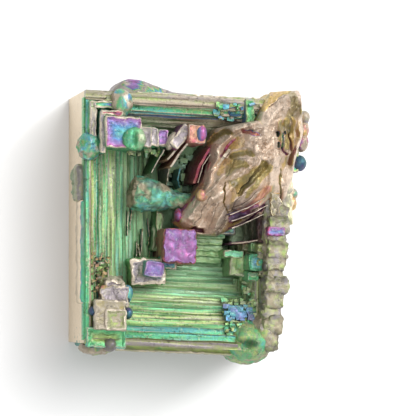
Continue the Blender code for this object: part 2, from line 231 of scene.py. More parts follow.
def tube(rings: Sequence[Array]) -> tuple[Array, Faces]:
    """Joins equal rings of points in order and closes both ends with a fan.

    Args:
        rings: Loops of points, each counter-clockwise as seen from the end that the rings run towards.

    Returns:
        The points and faces.
    """
    count = len(rings[0])
    faces: Faces = []
    for r in range(len(rings) - 1):
        for i in range(count):
            j = (i + 1) % count
            faces.append((r * count + i, r * count + j, (r + 1) * count + j, (r + 1) * count + i))
    total = len(rings) * count
    co = np.concatenate([*rings, [rings[0].mean(axis=0)], [rings[-1].mean(axis=0)]])
    last = (len(rings) - 1) * count
    faces += [((i + 1) % count, i, total) for i in range(count)]
    faces += [(last + i, last + (i + 1) % count, total + 1) for i in range(count)]
    return co, faces


def ball(centre: Sequence[float], radii: Sequence[float], detail: int = 4) -> Shape:
    """A round bead."""
    bm = bmesh.new()
    bmesh.ops.create_icosphere(bm, subdivisions=detail, radius=1.0)
    co = np.array([v.co[:] for v in bm.verts])
    faces = [tuple(v.index for v in f.verts) for f in bm.faces]
    bm.free()
    return Shape(co * radii + centre, faces)


def line_distance(places: Array, line: Sequence[Sequence[float]]) -> tuple[Array, Array]:
    """Distance in plan from points to a line, and the line's own last coordinate where it is nearest.

    Args:
        places: The points.
        line: The line's points, each x, y and a third value such as a height.

    Returns:
        The distances and the third values.
    """
    nearest, value = np.full(len(places), np.inf), np.zeros(len(places))
    for start, end in zip(line, line[1:]):
        a, b = np.array(start[:2], float), np.array(end[:2], float)
        share = np.clip((places[:, :2] - a) @ (b - a) / ((b - a) @ (b - a)), 0, 1)
        away = np.linalg.norm(places[:, :2] - a - share[:, None] * (b - a), axis=1)
        closer = away < nearest
        nearest = np.where(closer, away, nearest)
        value = np.where(closer, start[2] + (end[2] - start[2]) * share, value)
    return nearest, value


def along(line: Array, marks: Array, places: Array) -> Array:
    """Points in plan of a line whose points lie at marks, one for each place."""
    return np.stack([np.interp(places, marks, line[:, i]) for i in (0, 1)], axis=-1)


def new_mesh(name: str, co: Array | Sequence[Sequence[float]], faces: Iterable[Sequence[int]] = ()) -> Mesh:
    """A mesh from points in millimetres."""
    mesh = bpy.data.meshes.new(name)
    mesh.from_pydata((np.array(co) * MM).tolist(), [], faces)
    return mesh


def store(mesh: Mesh, name: str, values: Array | Sequence, domain: str = "POINT") -> None:
    """Stores a number or a vector on every point or face of a mesh."""
    data = np.array(values, np.float32)
    kind, key = ("FLOAT_VECTOR", "vector") if data.ndim > 1 else ("FLOAT", "value")
    mesh.attributes.new(name, kind, domain).data.foreach_set(key, data.ravel())


def placed(name: str, data: bpy.types.ID) -> Object:
    """A new object in the scene that shows a mesh, a light or a camera."""
    obj = bpy.data.objects.new(name, data)
    bpy.context.scene.collection.objects.link(obj)
    return obj


def make_piece(name: str, shape: Shape, material: Material, crease: float = 35.0) -> None:
    """Makes a piece of the crystal from a shape.

    Args:
        name: The piece's name.
        shape: Its closed shells.
        material: Its finish.
        crease: Edges sharper than this many degrees stay sharp.
    """
    mesh = new_mesh(name, shape.co, shape.faces)
    mesh.update()
    for key in ("film", "bare", "dark", "grain"):
        store(mesh, key, getattr(shape, key))
    finish_piece(name, mesh, material, crease)


def finish_piece(name: str, mesh: Mesh, material: Material, crease: float) -> None:
    """Wraps a mesh in an object that rides on the crystal and stands for its solid."""
    mesh.polygons.foreach_set("use_smooth", [True] * len(mesh.polygons))
    mesh.set_sharp_from_angle(angle=math.radians(crease))
    if not mesh.materials:
        mesh.materials.append(material)
    obj = placed(name, mesh)
    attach(obj, "root")
    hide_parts(NODE)
    log.info("%s: %d faces", name, len(mesh.polygons))


def grown(guide: Object) -> Mesh:
    """What a guide's modifiers make of it, as a plain mesh; the guide goes."""
    graph = bpy.context.evaluated_depsgraph_get()
    mesh = bpy.data.meshes.new_from_object(guide.evaluated_get(graph), depsgraph=graph)
    bpy.data.objects.remove(guide)
    return mesh


# --------------------------------------------------------------------------- node trees


class Tree:
    """A node tree with short calls for the nodes that the finishes and the ledges use."""

    def __init__(self, tree: NodeTree) -> None:
        """Takes the tree to build in."""
        self.tree = tree

    def add(self, kind: str, *values: object, **settings: object) -> Node:
        """Adds a node.

        Args:
            kind: The node's type.
            values: What its inputs take in order, a socket or a plain value, with None to leave one alone.
            settings: The node's own settings.

        Returns:
            The node.
        """
        node = self.tree.nodes.new(kind)
        for key, value in settings.items():
            setattr(node, key, value)
        for socket, value in zip([s for s in node.inputs if s.enabled], values):
            self.feed(socket, value)
        return node

    def feed(self, socket: Socket, value: object) -> None:
        """Links a socket to an input, or sets the input's own value."""
        if isinstance(value, Socket):
            self.tree.links.new(value, socket)
        elif value is not None:
            socket.default_value = value

    def fill(self, node: Node, inputs: dict[str, object]) -> Node:
        """Feeds a node's inputs by name."""
        for name, value in inputs.items():
            self.feed(node.inputs[name], value)
        return node

    def math(self, operation: str, *values: object) -> Socket:
        """The result of a Math node."""
        return self.add("ShaderNodeMath", *values, operation=operation).outputs[0]

    def product(self, *values: object) -> Socket:
        """Numbers multiplied in turn."""
        return functools.reduce(functools.partial(self.math, "MULTIPLY"), values)

    def swing(self, noise: object, strength: object, base: object) -> Socket:
        """A base that noise moves up and down."""
        return self.math("MULTIPLY_ADD", self.math("SUBTRACT", noise, 0.5), strength, base)

    def vector(self, operation: str, *values: object) -> Socket:
        """The result of a Vector Math node."""
        return self.add("ShaderNodeVectorMath", *values, operation=operation).outputs[0]

    def scaled(self, vector: object, factor: object) -> Socket:
        """A vector times a number."""
        return self.fill(self.add("ShaderNodeVectorMath", vector, operation="SCALE"), {"Scale": factor}).outputs[0]

    def ramp(self, value: object, low: object, high: object, first: float = 0.0, last: float = 1.0) -> Socket:
        """A smooth climb from first at low to last at high."""
        node = self.add("ShaderNodeMapRange", value, low, high, first, last, interpolation_type="SMOOTHSTEP")
        return node.outputs[0]

    def noise(self, place: object, scale: float = 1.0, detail: float = 2.0, rough: float = 0.5) -> Socket:
        """Noise between 0 and 1."""
        node = self.add("ShaderNodeTexNoise", noise_dimensions="3D")
        return self.fill(node, {"Vector": place, "Scale": scale, "Detail": detail, "Roughness": rough}).outputs[0]

    def mix(self, share: object, first: object, second: object) -> Socket:
        """Two colours mixed."""
        node = self.add("ShaderNodeMix", data_type="RGBA", blend_type="MIX")
        for i, value in ((0, share), (6, first), (7, second)):
            self.feed(node.inputs[i], value)
        return node.outputs[2]

    def combine(self, x: object, y: object, z: object) -> Socket:
        """A vector from three numbers."""
        return self.add("ShaderNodeCombineXYZ", x, y, z).outputs[0]

    def split(self, vector: object) -> tuple[Socket, ...]:
        """The three numbers of a vector."""
        return tuple(self.add("ShaderNodeSeparateXYZ", vector).outputs[:3])

    def drawn_out(self, grain: object, length: object, pitch: object, lift: float) -> Socket:
        """Places for noise that runs along the growth lines.

        Args:
            grain: Places along, across and above the growth lines.
            length: How long the noise is drawn out.
            pitch: How far apart its lines are.
            lift: How fast it changes upwards.

        Returns:
            The places.
        """
        x, y, z = self.split(grain)
        x, y = self.math("DIVIDE", x, length), self.math("DIVIDE", y, pitch)
        return self.combine(x, y, self.math("MULTIPLY", z, lift))


class Growth(Tree):
    """A geometry tree that stands a divided cube on each of a guide's points, reshapes it and gives it a finish."""

    def __init__(self, name: str, inputs: dict[str, float]) -> None:
        """Args:
            name: The tree's name.
            inputs: The numbers it can be given, by name, each with its plain value.
        """
        super().__init__(bpy.data.node_groups.new(name, "GeometryNodeTree"))
        new_socket = self.tree.interface.new_socket
        new_socket("Geometry", in_out="INPUT", socket_type="NodeSocketGeometry")
        for label, value in inputs.items():
            kind = "NodeSocketInt" if isinstance(value, int) else "NodeSocketFloat"
            new_socket(label, in_out="INPUT", socket_type=kind).default_value = value
        new_socket("Finish", in_out="INPUT", socket_type="NodeSocketMaterial")
        new_socket("Geometry", in_out="OUTPUT", socket_type="NodeSocketGeometry")
        self.source = self.add("NodeGroupInput").outputs

    def named(self, name: str, kind: str = "FLOAT") -> Socket:
        """A point's own value."""
        return self.add("GeometryNodeInputNamedAttribute", name, data_type=kind).outputs[0]

    def position(self) -> Socket:
        """A point's place."""
        return self.add("GeometryNodeInputPosition").outputs[0]

    def stored(self, geometry: object, name: str, value: object, kind: str = "FLOAT") -> Socket:
        """The geometry with a value stored on its points."""
        node = self.add("GeometryNodeStoreNamedAttribute", data_type=kind, domain="POINT")
        return self.fill(node, {"Geometry": geometry, "Name": name, "Value": value}).outputs[0]

    def moved(self, geometry: object, offset: object) -> Socket:
        """The geometry with its points moved."""
        return self.fill(self.add("GeometryNodeSetPosition", geometry), {"Offset": offset}).outputs[0]

    def cubes(self, points: object, parts: Sequence[object], rotation: object, scale: object) -> Socket:
        """Stands a divided cube on every point.

        Args:
            points: The points.
            parts: How finely a cube is divided along each axis.
            rotation: Each cube's turn.
            scale: Each cube's size.

        Returns:
            The cubes as real geometry, whose points know their place in the cube as "local".
        """
        divisions = dict(zip(("Vertices X", "Vertices Y", "Vertices Z"), parts))
        cube = self.fill(self.add("GeometryNodeMeshCube"), divisions | {"Size": (1.0, 1.0, 1.0)})
        unit = self.stored(cube.outputs["Mesh"], "local", self.position(), "FLOAT_VECTOR")
        inputs = {"Points": points, "Instance": unit, "Rotation": rotation, "Scale": scale}
        stand = self.fill(self.add("GeometryNodeInstanceOnPoints"), inputs)
        return self.add("GeometryNodeRealizeInstances", stand.outputs[0]).outputs[0]

    def dress(self, geometry: object, film: object, bare: object, dark: object, grain: object) -> None:
        """Ends the tree with the geometry's film, bareness, darkness, growth lines and finish."""
        for name, value in (("film", film), ("bare", bare), ("dark", dark)):
            geometry = self.stored(geometry, name, value)
        geometry = self.stored(geometry, "grain", grain, "FLOAT_VECTOR")
        dressed = self.fill(self.add("GeometryNodeSetMaterial", geometry), {"Material": self.source["Finish"]})
        self.add("NodeGroupOutput", dressed.outputs[0])

    def grow(self, name: str, guide: Object, finish: Material, values: dict[str, float]) -> None:
        """Makes a piece of what the tree grows on a guide, which goes.

        Args:
            name: The piece's name.
            guide: The guide.
            finish: The piece's finish.
            values: Numbers for the tree's inputs.
        """
        modifier = guide.modifiers.new(name, "NODES")
        modifier.node_group = self.tree
        inputs = {s.name: s.identifier for s in self.tree.interface.items_tree if s.in_out == "INPUT"}
        for label, value in (values | {"Finish": finish}).items():
            modifier[inputs[label]] = value
        finish_piece(name, grown(guide), finish, 50.0)


def linear(colour: Sequence[int]) -> tuple[float, float, float, float]:
    """A screen colour of 0 to 255 as the shader's own."""
    r, g, b = (((c / 255 + 0.055) / 1.055) ** 2.4 if c > 10 else c / 255 / 12.92 for c in colour)
    return (r, g, b, 1.0)


def group_tree(name: str, inputs: Sequence[str], outputs: Sequence[str]) -> Tree:
    """A shader node group with named sockets.

    Args:
        name: The group's name.
        inputs: Its inputs, which start from a plain finish's values.
        outputs: Its outputs.

    Returns:
        The group's tree.
    """
    tree = bpy.data.node_groups.new(name, "ShaderNodeTree")
    kinds = {"Grain": "Vector", "Place": "Vector", "Color": "Color", "Bare Metal": "Color", "Hollow": "Color"}
    for way, label in [("INPUT", label) for label in inputs] + [("OUTPUT", label) for label in outputs]:
        kind = kinds.get(label, "Float")
        socket = tree.interface.new_socket(label, in_out=way, socket_type=f"NodeSocket{kind}")
        plain = getattr(OxideFinish, label.lower().replace(" ", "_"), None)
        if plain is not None:
            socket.default_value = linear(plain) if kind == "Color" else plain
    return Tree(tree)


def oxide_group() -> NodeTree:
    """The group that colours the film by its thickness, in streaks along the growth lines and in clouds."""
    inputs = ("Grain", "Place", "Film", "Bare", "Dark", "Streaks", "Streak Pitch", "Streak Length", "Clouds")
    inputs += ("Cloud Pitch", "Greying", "Cracks", "Mottle", "Mottle Pitch", "Specks", "Depth Tint")
    t = group_tree("oxide film", (*inputs, "Bare Metal", "Hollow"), ("Color",))
    source = t.add("NodeGroupInput").outputs
    stretched = t.drawn_out(source["Grain"], source["Streak Length"], source["Streak Pitch"], 3.7)
    streak = t.noise(stretched, 1.0, 2.0, 0.6)
    cloud_place = t.scaled(source["Grain"], t.math("DIVIDE", 1.0, source["Cloud Pitch"]))
    cloud = t.noise(cloud_place, 1.0, 3.0, 0.55)
    fine_place = t.scaled(source["Place"], t.math("DIVIDE", 1 / MM, source["Mottle Pitch"]))
    fine = t.noise(fine_place, 1.0, 2.0, 0.65)
    other = t.noise(t.vector("ADD", fine_place, (31.0, 17.0, 5.0)), 0.8, 2.0, 0.7)
    film = t.swing(streak, source["Streaks"], source["Film"])
    film = t.swing(cloud, source["Clouds"], film)
    film = t.swing(fine, source["Mottle"], film)
    ramp = t.add("ShaderNodeValToRGB", t.math("PINGPONG", film, 1.0))
    stops = ramp.color_ramp.elements
    for place in Film:
        stop = stops[0] if place is SILVER else stops[-1] if place is LILAC else stops.new(place)
        stop.color = linear(place.colour)
    grey = t.noise(t.vector("ADD", stretched, (5.0, 9.0, 2.0)), 0.8)
    grey = t.product(t.ramp(grey, 0.5, 0.68), source["Greying"])
    colour = t.mix(grey, ramp.outputs[0], linear((138, 130, 132)))
    colour = t.mix(t.ramp(t.swing(cloud, 0.5, source["Bare"]), 0.35, 0.65), colour, source["Bare Metal"])
    patchy = t.product(t.ramp(cloud, 0.35, 0.6, 0.3, 1.0), source["Specks"])
    light = t.product(t.ramp(fine, 0.56, 0.68), patchy, 0.6)
    colour = t.mix(light, colour, linear((232, 224, 206)))
    speck = t.product(t.ramp(other, 0.56, 0.66), patchy)
    winding = t.vector("MULTIPLY", source["Grain"], (0.45, 1.5, 2.3))
    winding = t.vector("ADD", winding, t.add("ShaderNodeTexNoise", winding, None, 1.3).outputs["Color"])
    crack = t.math("ABSOLUTE", t.math("SUBTRACT", t.noise(winding), 0.5))
    crack = t.product(t.ramp(crack, 0.004, 0.025, 1.0, 0.0), t.ramp(cloud, 0.4, 0.55), source["Cracks"])
    # Darkness mixes in the hollow colour: real cracks and specks, and the painted shade that the pieces carry.
    dark = t.math("MAXIMUM", t.math("MAXIMUM", source["Dark"], crack), speck)
    colour = t.mix(dark, colour, source["Hollow"])
    level = t.split(source["Place"])[2]
    # Painted light: the lower a point lies in the pit, the more its colour is lightened toward pale green.
    deep = t.product(t.ramp(level, 8.0 * MM, 23.5 * MM, 1.0, 0.0), source["Depth Tint"])
    t.add("NodeGroupOutput", t.mix(deep, colour, linear((178, 214, 168))))
    return t.tree


def relief_group() -> NodeTree:
    """The group that makes growth lines and grain, as a height and a roughness."""
    inputs = ("Grain", "Place", "Line Height", "Line Pitch", "Line Length", "Grain Height", "Grain Pitch", "Smooth")
    t = group_tree("growth relief", (*inputs, "Rough"), ("Height", "Roughness"))
    source = t.add("NodeGroupInput").outputs
    stretched = t.drawn_out(source["Grain"], source["Line Length"], source["Line Pitch"], 5.3)
    lines = t.noise(stretched, 1.0, 2.0, 0.55)
    place = t.scaled(source["Place"], t.math("DIVIDE", 1 / MM, source["Grain Pitch"]))
    grains = t.noise(place, 1.0, 3.0, 0.6)
    patches = t.ramp(t.noise(source["Place"], 300.0, 1.0), 0.42, 0.62, 0.25, 1.0)
    height = t.product(t.math("SUBTRACT", lines, 0.5), source["Line Height"])
    grained = t.product(t.math("SUBTRACT", grains, 0.5), source["Grain Height"], patches)
    rough = t.math("SUBTRACT", source["Rough"], source["Smooth"])
    rough = t.math("MULTIPLY_ADD", t.ramp(grains, 0.35, 0.7), rough, source["Smooth"])
    t.add("NodeGroupOutput", t.math("ADD", height, grained), rough)
    return t.tree


@dataclass(frozen=True)
class OxideFinish:
    """Bismuth under its oxide film, with streaks and relief of its own."""

    name: str
    streaks: float = 0.14
    clouds: float = 0.12
    mottle: float = 0.22
    mottle_pitch: float = 0.55
    specks: float = 0.5
    streak_pitch: float = 0.7
    streak_length: float = 12.0
    cloud_pitch: float = 3.0
    greying: float = 0.55
    cracks: float = 0.7
    bare_metal: Colour = (178, 164, 144)
    # hollow: the near-black that darkness mixes in, for real cracks and specks and for painted shade.
    hollow: Colour = (26, 32, 28)
    line_height: float = 0.35
    line_pitch: float = 0.3
    line_length: float = 6.0
    grain_height: float = 0.8
    grain_pitch: float = 0.55
    smooth: float = 0.36
    rough: float = 0.6
    metallic: float = 0.65
    bump: float = 0.15
    # depth_tint: how strongly the deep pit is lightened, painted light against its shade.
    depth_tint: float = 0.0

    def build(self, oxide: NodeTree, relief: NodeTree) -> Material:
        """Makes the material.

        Args:
            oxide: The group that colours the film.
            relief: The group that makes its growth lines.

        Returns:
            The material.
        """
        material = bpy.data.materials.new(self.name)
        material.use_nodes = True
        t = Tree(material.node_tree)
        given = {name.replace("_", " ").title(): value for name, value in vars(self).items()}
        given |= {"Bare Metal": linear(self.bare_metal), "Hollow": linear(self.hollow)}
        for name, output in (("film", "Fac"), ("bare", "Fac"), ("dark", "Fac"), ("grain", "Vector")):
            given[name.title()] = t.add("ShaderNodeAttribute", attribute_name=name).outputs[output]
        given["Place"] = t.add("ShaderNodeTexCoord").outputs["Object"]
        colour, lines = (t.add("ShaderNodeGroup", node_tree=group) for group in (oxide, relief))
        for socket in (*colour.inputs, *lines.inputs):
            t.feed(socket, given[socket.name])
        bump = t.fill(t.add("ShaderNodeBump"), {"Distance": self.bump * MM, "Height": lines.outputs["Height"]})
        outputs = {"Base Color": colour.outputs["Color"], "Roughness": lines.outputs["Roughness"]}
        outputs |= {"Normal": bump.outputs[0], "Metallic": self.metallic}
        t.fill(material.node_tree.nodes["Principled BSDF"], outputs)
        return material


# --------------------------------------------------------------------------- hopper


class Side(Enum):
    """A wall of the hopper, as the angle that turns a ledge running north with its lip to the east."""

    WEST = 0.0
    SOUTH = 90.0
    EAST = 180.0
    NORTH = 270.0


@dataclass(frozen=True)
class Wall:
    """One wall's ledges: treads, films, bareness and painted shade from the rim down, and what sets the wall apart.
    The bareness is wear, and on the north wall's recessed ledges partly painted light.
    """

    treads: tuple[float, ...]
    films: tuple[float, ...]
    worn: tuple[float, ...] = ()
    shade: tuple[float, ...] = ()
    leans: Point2 = (0.0, 0.0)
    between: float = 0.52
    lift: float = 0.0
    end: Point2 = (math.inf, 0.0)
    first: int = 0
    lip_shade: float = 0.4

    def lips(self) -> list[float]:
        """How far in the ledges' lips stand from the outer face, two to each of the solid's ledges."""
        reached, lips = 0.0, []
        for i, tread in enumerate(self.treads):
            lips += [reached + tread * (self.between if i else 0.8), reached + tread]
            reached += tread
        return lips

    def lifted(self, level: int) -> float:
        """How much higher than even steps a ledge stands, growing over the upper ledges and gone at the lowest."""
        upper, count = 6, 2 * len(self.treads)
        return self.lift * min(level, upper) * min(1.0, (count - level) / (count - upper))


WALLS = {
    Side.WEST: Wall(
        (1.1, 1.15, 1.35, 1.25, 1.55, 1.65, 1.4, 1.7, 2.1, 2.1),
        (0.7, 0.78, 0.7, 0.75, 0.8, 0.66, 0.72, 0.7, 0.77, 0.73),
        worn=(0.3,),
    ),
    Side.SOUTH: Wall(
        (1.5, 2.3, 1.4, 1.3, 1.4, 1.5, 1.2, 1.35, 1.3, 1.7),
        (0.86, 0.64, 0.75, 0.8, 0.71, 0.8, 0.7, 0.79, 0.7, 0.66),
        shade=(0.25,), leans=(0.25, -0.03), end=(7.4, 0.8),
    ),
    Side.EAST: Wall(
        (1.7, 0.6, 0.55, 0.5, 0.5, 0.5, 0.5, 0.5, 0.5, 0.5),
        (0.9, 0.88, 0.8, 0.86, 0.78, 0.84, 0.8, 0.76, 0.8, 0.76),
        end=(-9.6, 0.0), first=2,
    ),
    Side.NORTH: Wall(
        (2.2, 1.0, 0.45, 0.4, 0.75, 0.65, 0.6, 0.6, 0.65, 0.6),
        (0.93, 0.67, 0.56, 0.46, 0.86, 0.84, 0.84, 0.78, 0.8, 0.75),
        (0.46, 0.0, 0.0, 0.1, 0.5, 0.5, 0.4, 0.3, 0.2, 0.2),
        (0.22, 0.0, 0.0, 0.3),
        leans=(-0.1, -0.25), between=0.2, lift=0.38, lip_shade=0.2,
    ),
}  # fmt: skip


@dataclass(frozen=True)
class Hopper:
    """The pit's four walls of overhanging ledges, each ledge a bar with its lip over the pit."""

    west: float = -20.1
    east: float = 14.4
    south: float = -22.6
    north: float = 22.6
    rim_z: float = 24.0
    rise: float = 1.6
    stagger: float = 0.03
    overlap: float = 0.9
    undercut: float = 0.42
    lip: float = 0.34
    bar_height: float = 2.4
    root: float = 1.2
    ridge: float = 0.3
    waviness: float = 0.3
    film_spread: float = 0.05
    seed: float = 3.0
    parts: tuple[int, int, int] = (90, 9, 7)

    def face(self, side: Side) -> float:
        """Where a wall's outer face stands."""
        return getattr(self, side.name.lower())

    def guide(self, side: Side) -> Object:
        """A point for each of a wall's ledges, with the ledge's size, turn, level and film.

        Args:
            side: The wall.

        Returns:
            An object whose points the ledges stand on.
        """
        wall = WALLS[side]
        across = side in (Side.SOUTH, Side.NORTH)
        inward = 1 if side in (Side.WEST, Side.SOUTH) else -1
        rng = np.random.default_rng(11 + int(side.value))
        first, second = (Side.WEST, Side.EAST) if across else (Side.SOUTH, Side.NORTH)
        lips, starts, ends = (WALLS[s].lips() for s in (side, first, second))
        worn, shade = (values + (0.0,) * len(lips) for values in (wall.worn, wall.shade))
        rows = []
        for i in range(wall.first, len(lips)):
            before, root = (lips[i - 1], self.root) if i else (0.0, 0.0)
            low = self.face(first) + starts[i] - self.overlap
            high = min(self.face(second) - ends[i] + self.overlap, wall.end[0] + wall.end[1] * i)
            middle, deep = (low + high) / 2, self.face(side) + inward * (before - root + lips[i]) / 2
            top = self.rim_z - (i * self.rise / 2 - wall.lifted(i)) + self.stagger * side.value / 90
            place = (middle, deep) if across else (deep, middle)
            size = (high - low, lips[i] - before + root, self.bar_height)
            film = wall.films[i // 2] + self.film_spread * rng.uniform(-1, 1)
            finish = (film, worn[i // 2], shade[i // 2], wall.leans[i > 1])
            rows.append(((*place, top - self.bar_height / 2), size, i + side.value, math.radians(side.value), *finish))
        places, *columns = zip(*rows)
        guide = placed(f"guide {side.name.lower()}", new_mesh("guide", places))
        for key, values in zip(("size", "level", "turn", "tint", "worn", "tread_painted_shade", "lean"), columns):
            store(guide.data, key, values)
        return guide

    def tree(self) -> Growth:
        """The tree that stands a ridged bar with an overhanging lip on every point of a guide."""
        parts = dict(zip(("Along Parts", "Across Parts", "Height Parts"), self.parts))
        inputs = parts | {"Ridge": self.ridge, "Undercut": self.undercut, "Lip": self.lip, "Waviness": self.waviness}
        t = Growth("hopper ledges", inputs | {"Slant": SLANT, "Shade": Wall.lip_shade, "Seed": self.seed})
        source, size, level = t.source, t.named("size", "FLOAT_VECTOR"), t.named("level")
        # A bar runs along its own X with its lip at -Y, so a quarter turn makes it run north, lip to the east.
        turn = t.math("ADD", t.named("turn"), math.radians(90))
        divisions = [source[label] for label in parts]
        bars = t.cubes(source["Geometry"], divisions, t.combine(0.0, 0.0, turn), t.scaled(size, MM))

        along, across, up = t.split(t.vector("MULTIPLY", t.named("local", "FLOAT_VECTOR"), size))
        _, wide, tall = t.split(size)
        from_lip = t.math("ADD", across, t.product(wide, 0.5))
        from_top = t.math("SUBTRACT", t.product(tall, 0.5), up)
        seeded = t.math("MULTIPLY_ADD", level, 1.37, source["Seed"])
        slow = t.combine(t.product(along, 0.07), t.product(from_lip, 1.9), seeded)
        ridges = t.math("SUBTRACT", t.noise(slow, 1.0, 1.0, 0.4), 0.5)
        wave = t.noise(t.combine(t.product(along, 0.16), seeded, 0.0), 1.0, 3.0, 0.6)
        on_top = t.ramp(from_top, 0.0, 0.5, 1.0, 0.0)
        at_front = t.ramp(from_lip, 0.0, 0.9, 1.0, 0.0)
        beak = t.math("POWER", 2.718, t.product(from_lip, -6.0))
        lift = t.math("ADD", t.product(source["Ridge"], 2.6, ridges), t.product(beak, 0.1))
        lift = t.product(t.math("MULTIPLY_ADD", t.math("SUBTRACT", 0.6, from_lip), t.named("lean"), lift), on_top)
        under = t.ramp(from_top, t.product(source["Lip"], 0.9), t.product(source["Lip"], 1.5))
        step_in = t.product(under, source["Undercut"], at_front)
        reach = t.product(t.math("SUBTRACT", wave, 0.5), source["Waviness"], at_front, 2.0)
        push = t.math("ADD", t.math("SUBTRACT", step_in, reach), t.product(on_top, at_front, 0.05))
        offset = t.add("ShaderNodeVectorRotate", rotation_type="Z_AXIS")
        t.fill(offset, {"Vector": t.combine(0.0, push, lift), "Angle": turn})
        shaped = t.moved(bars, t.scaled(offset.outputs[0], MM))
        x = t.split(t.position())[0]
        slid = t.moved(shaped, t.combine(0.0, t.product(source["Slant"], -1.0, x), 0.0))

        # Painted shade: a band just under each lip is darkened by Shade, and each tread takes its own painted shade
        # too.
        below = t.product(t.ramp(from_top, 0.3, 0.45), t.ramp(from_top, 1.1, 0.6))
        dark = t.product(below, t.ramp(from_lip, 0.9, 0.5), source["Shade"])
        t.dress(
            slid,
            t.math("MULTIPLY_ADD", ridges, 0.5, t.named("tint")),
            # Painted highlight: each lip's front edge is mixed toward bare metal, on top of the ledge's own wear.
            t.math("MULTIPLY_ADD", t.product(beak, on_top), 0.7, t.named("worn")),
            t.math("MAXIMUM", dark, t.named("tread_painted_shade")),
            t.combine(along, from_lip, seeded),
        )
        return t

    def build(self, finish: Material) -> None:
        """Grows the ledges of all four walls."""
        tree = self.tree()
        for side in Side:
            values = {"Seed": self.seed + side.value, "Shade": WALLS[side].lip_shade}
            tree.grow(f"ledges_{side.name.lower()}", self.guide(side), finish, values)


# --------------------------------------------------------------------------- grown blocks


@dataclass(frozen=True)
class Block:
    """A square-cut block with a bare frame round a sunken, coloured top."""

    x: Point2
    y: Point2
    z: Point2
    edge: float = VIOLET
    heart: float = BLUE
    side: float = GREEN
    frame: float = 0.4
    sunk: float = 0.35
    terraces: int = 1
    bare: float = 1.0
    side_bare: float = 0.3
    dark: float = 0.0
    turn: float = 0.0
    lean: float = 0.0
    round: float = 0.38
    rough: float = 0.17
    pitch: float = 0.26
    upright_pitch: float = 2.2

    def shape(self, seed: int) -> Shape:
        """The block's shell, uneven by seed."""
        low, high = np.array((self.x, self.y, self.z)).T
        half, middle = (high - low) / 2, (high + low) / 2
        pitches = (self.pitch, self.pitch, self.pitch * self.upright_pitch)
        parts = np.maximum(3, np.round(2 * half / pitches)).astype(int)
        unit, faces = box_grid(*parts)
        inner = half - self.round
        core = np.clip(unit * half, -inner, inner)
        out = unit * half - core
        length = np.linalg.norm(out, axis=1, keepdims=True)
        local = core + out / np.maximum(length, 1e-9) * np.minimum(length, self.round)
        x, y, z = local.T
        level = np.full(len(local), float(seed))
        flat = np.stack([x, y, level], 1)
        on_top = unit[:, 2] > 0.999
        inset = np.minimum(half[0] - np.abs(x), half[1] - np.abs(y))
        wobble = lattice_noise(flat * 0.9, seed) * 0.2
        inset = inset + np.where(inset > 0.1, wobble, 0)
        reach = max(0.5, min(half[:2]) - self.frame)
        steps = [ease(0, 0.35, inset - self.frame - i * reach / self.terraces) for i in range(self.terraces)]
        fall = sum(steps) / self.terraces
        z -= np.where(on_top, fall * self.sunk, 0)
        share = np.clip((inset - self.frame) / reach, 0, 1)
        film = np.where(on_top, self.edge + (self.heart - self.edge) * share, self.side)
        rim = np.where(on_top, 1 - ease(-0.12, 0.1, inset - self.frame), 0)
        side_bare = self.side_bare + 0.6 * ease(half[2] - 0.5, half[2], z)
        bare = np.where(on_top, rim * self.bare, side_bare * self.bare)
        # Painted shade: a block's sides darken towards their foot, where they stand among other blocks and in the pit.
        side_painted_shade = self.dark + 0.5 * ease(half[2] * 0.6, -half[2], z)
        dark = np.where(on_top, self.dark, side_painted_shade)
        grain = flat if half[0] > half[1] else flat[:, [1, 0, 2]]
        grain = np.where(on_top[:, None], grain, np.stack([x + y, z, level], 1))
        shape = Shape(local + middle, faces, film, bare, dark, grain)
        shape.turn(self.lean, middle, "X")
        shape.turn(self.turn, middle)
        shape.co[:, 1] -= SLANT * (shape.co[:, 0] - middle[0])
        return shape.roughen(self.rough, 0.9, seed, 0.7)


@dataclass
class BlockRun:
    """Blocks that grew in one run, fused by overlap."""

    name: str
    blocks: tuple[Block, ...]
    extra: Callable[[], list[Shape]] | None = None

    def build(self, finish: Material) -> None:
        """Makes the run one piece."""
        shapes = [block.shape(i * 5 + len(self.name)) for i, block in enumerate(self.blocks)]
        make_piece(self.name, joined(shapes + (self.extra() if self.extra else [])), finish)


def bead(centre: Sequence[float], radii: Sequence[float], film: float, bare: float = 0.3, dark: float = 0.0,
         lumps: float = 0.12, seed: int = 0, detail: int = 4, spread: float = 0.1) -> Shape:
    """A frozen drop.

    Args:
        centre: Its middle.
        radii: Its three radii.
        film: Its film.
        bare: How bare it is on average.
        dark: How dark it is.
        lumps: How uneven it is.
        seed: Chooses its unevenness.
        detail: How finely it is divided.
        spread: How much its film varies.

    Returns:
        The shape.
    """
    shape = ball(centre, radii, detail)
    tone = rough_noise(shape.co / 1.1, seed + 50)
    shape.grain = (shape.co - centre)[:, [1, 2, 0]]
    shape.paint(film + spread * tone, np.clip(bare + 0.5 * rough_noise(shape.co / 1.4, seed + 90), 0, 1), dark)
    return shape.roughen(lumps, 0.9, seed)


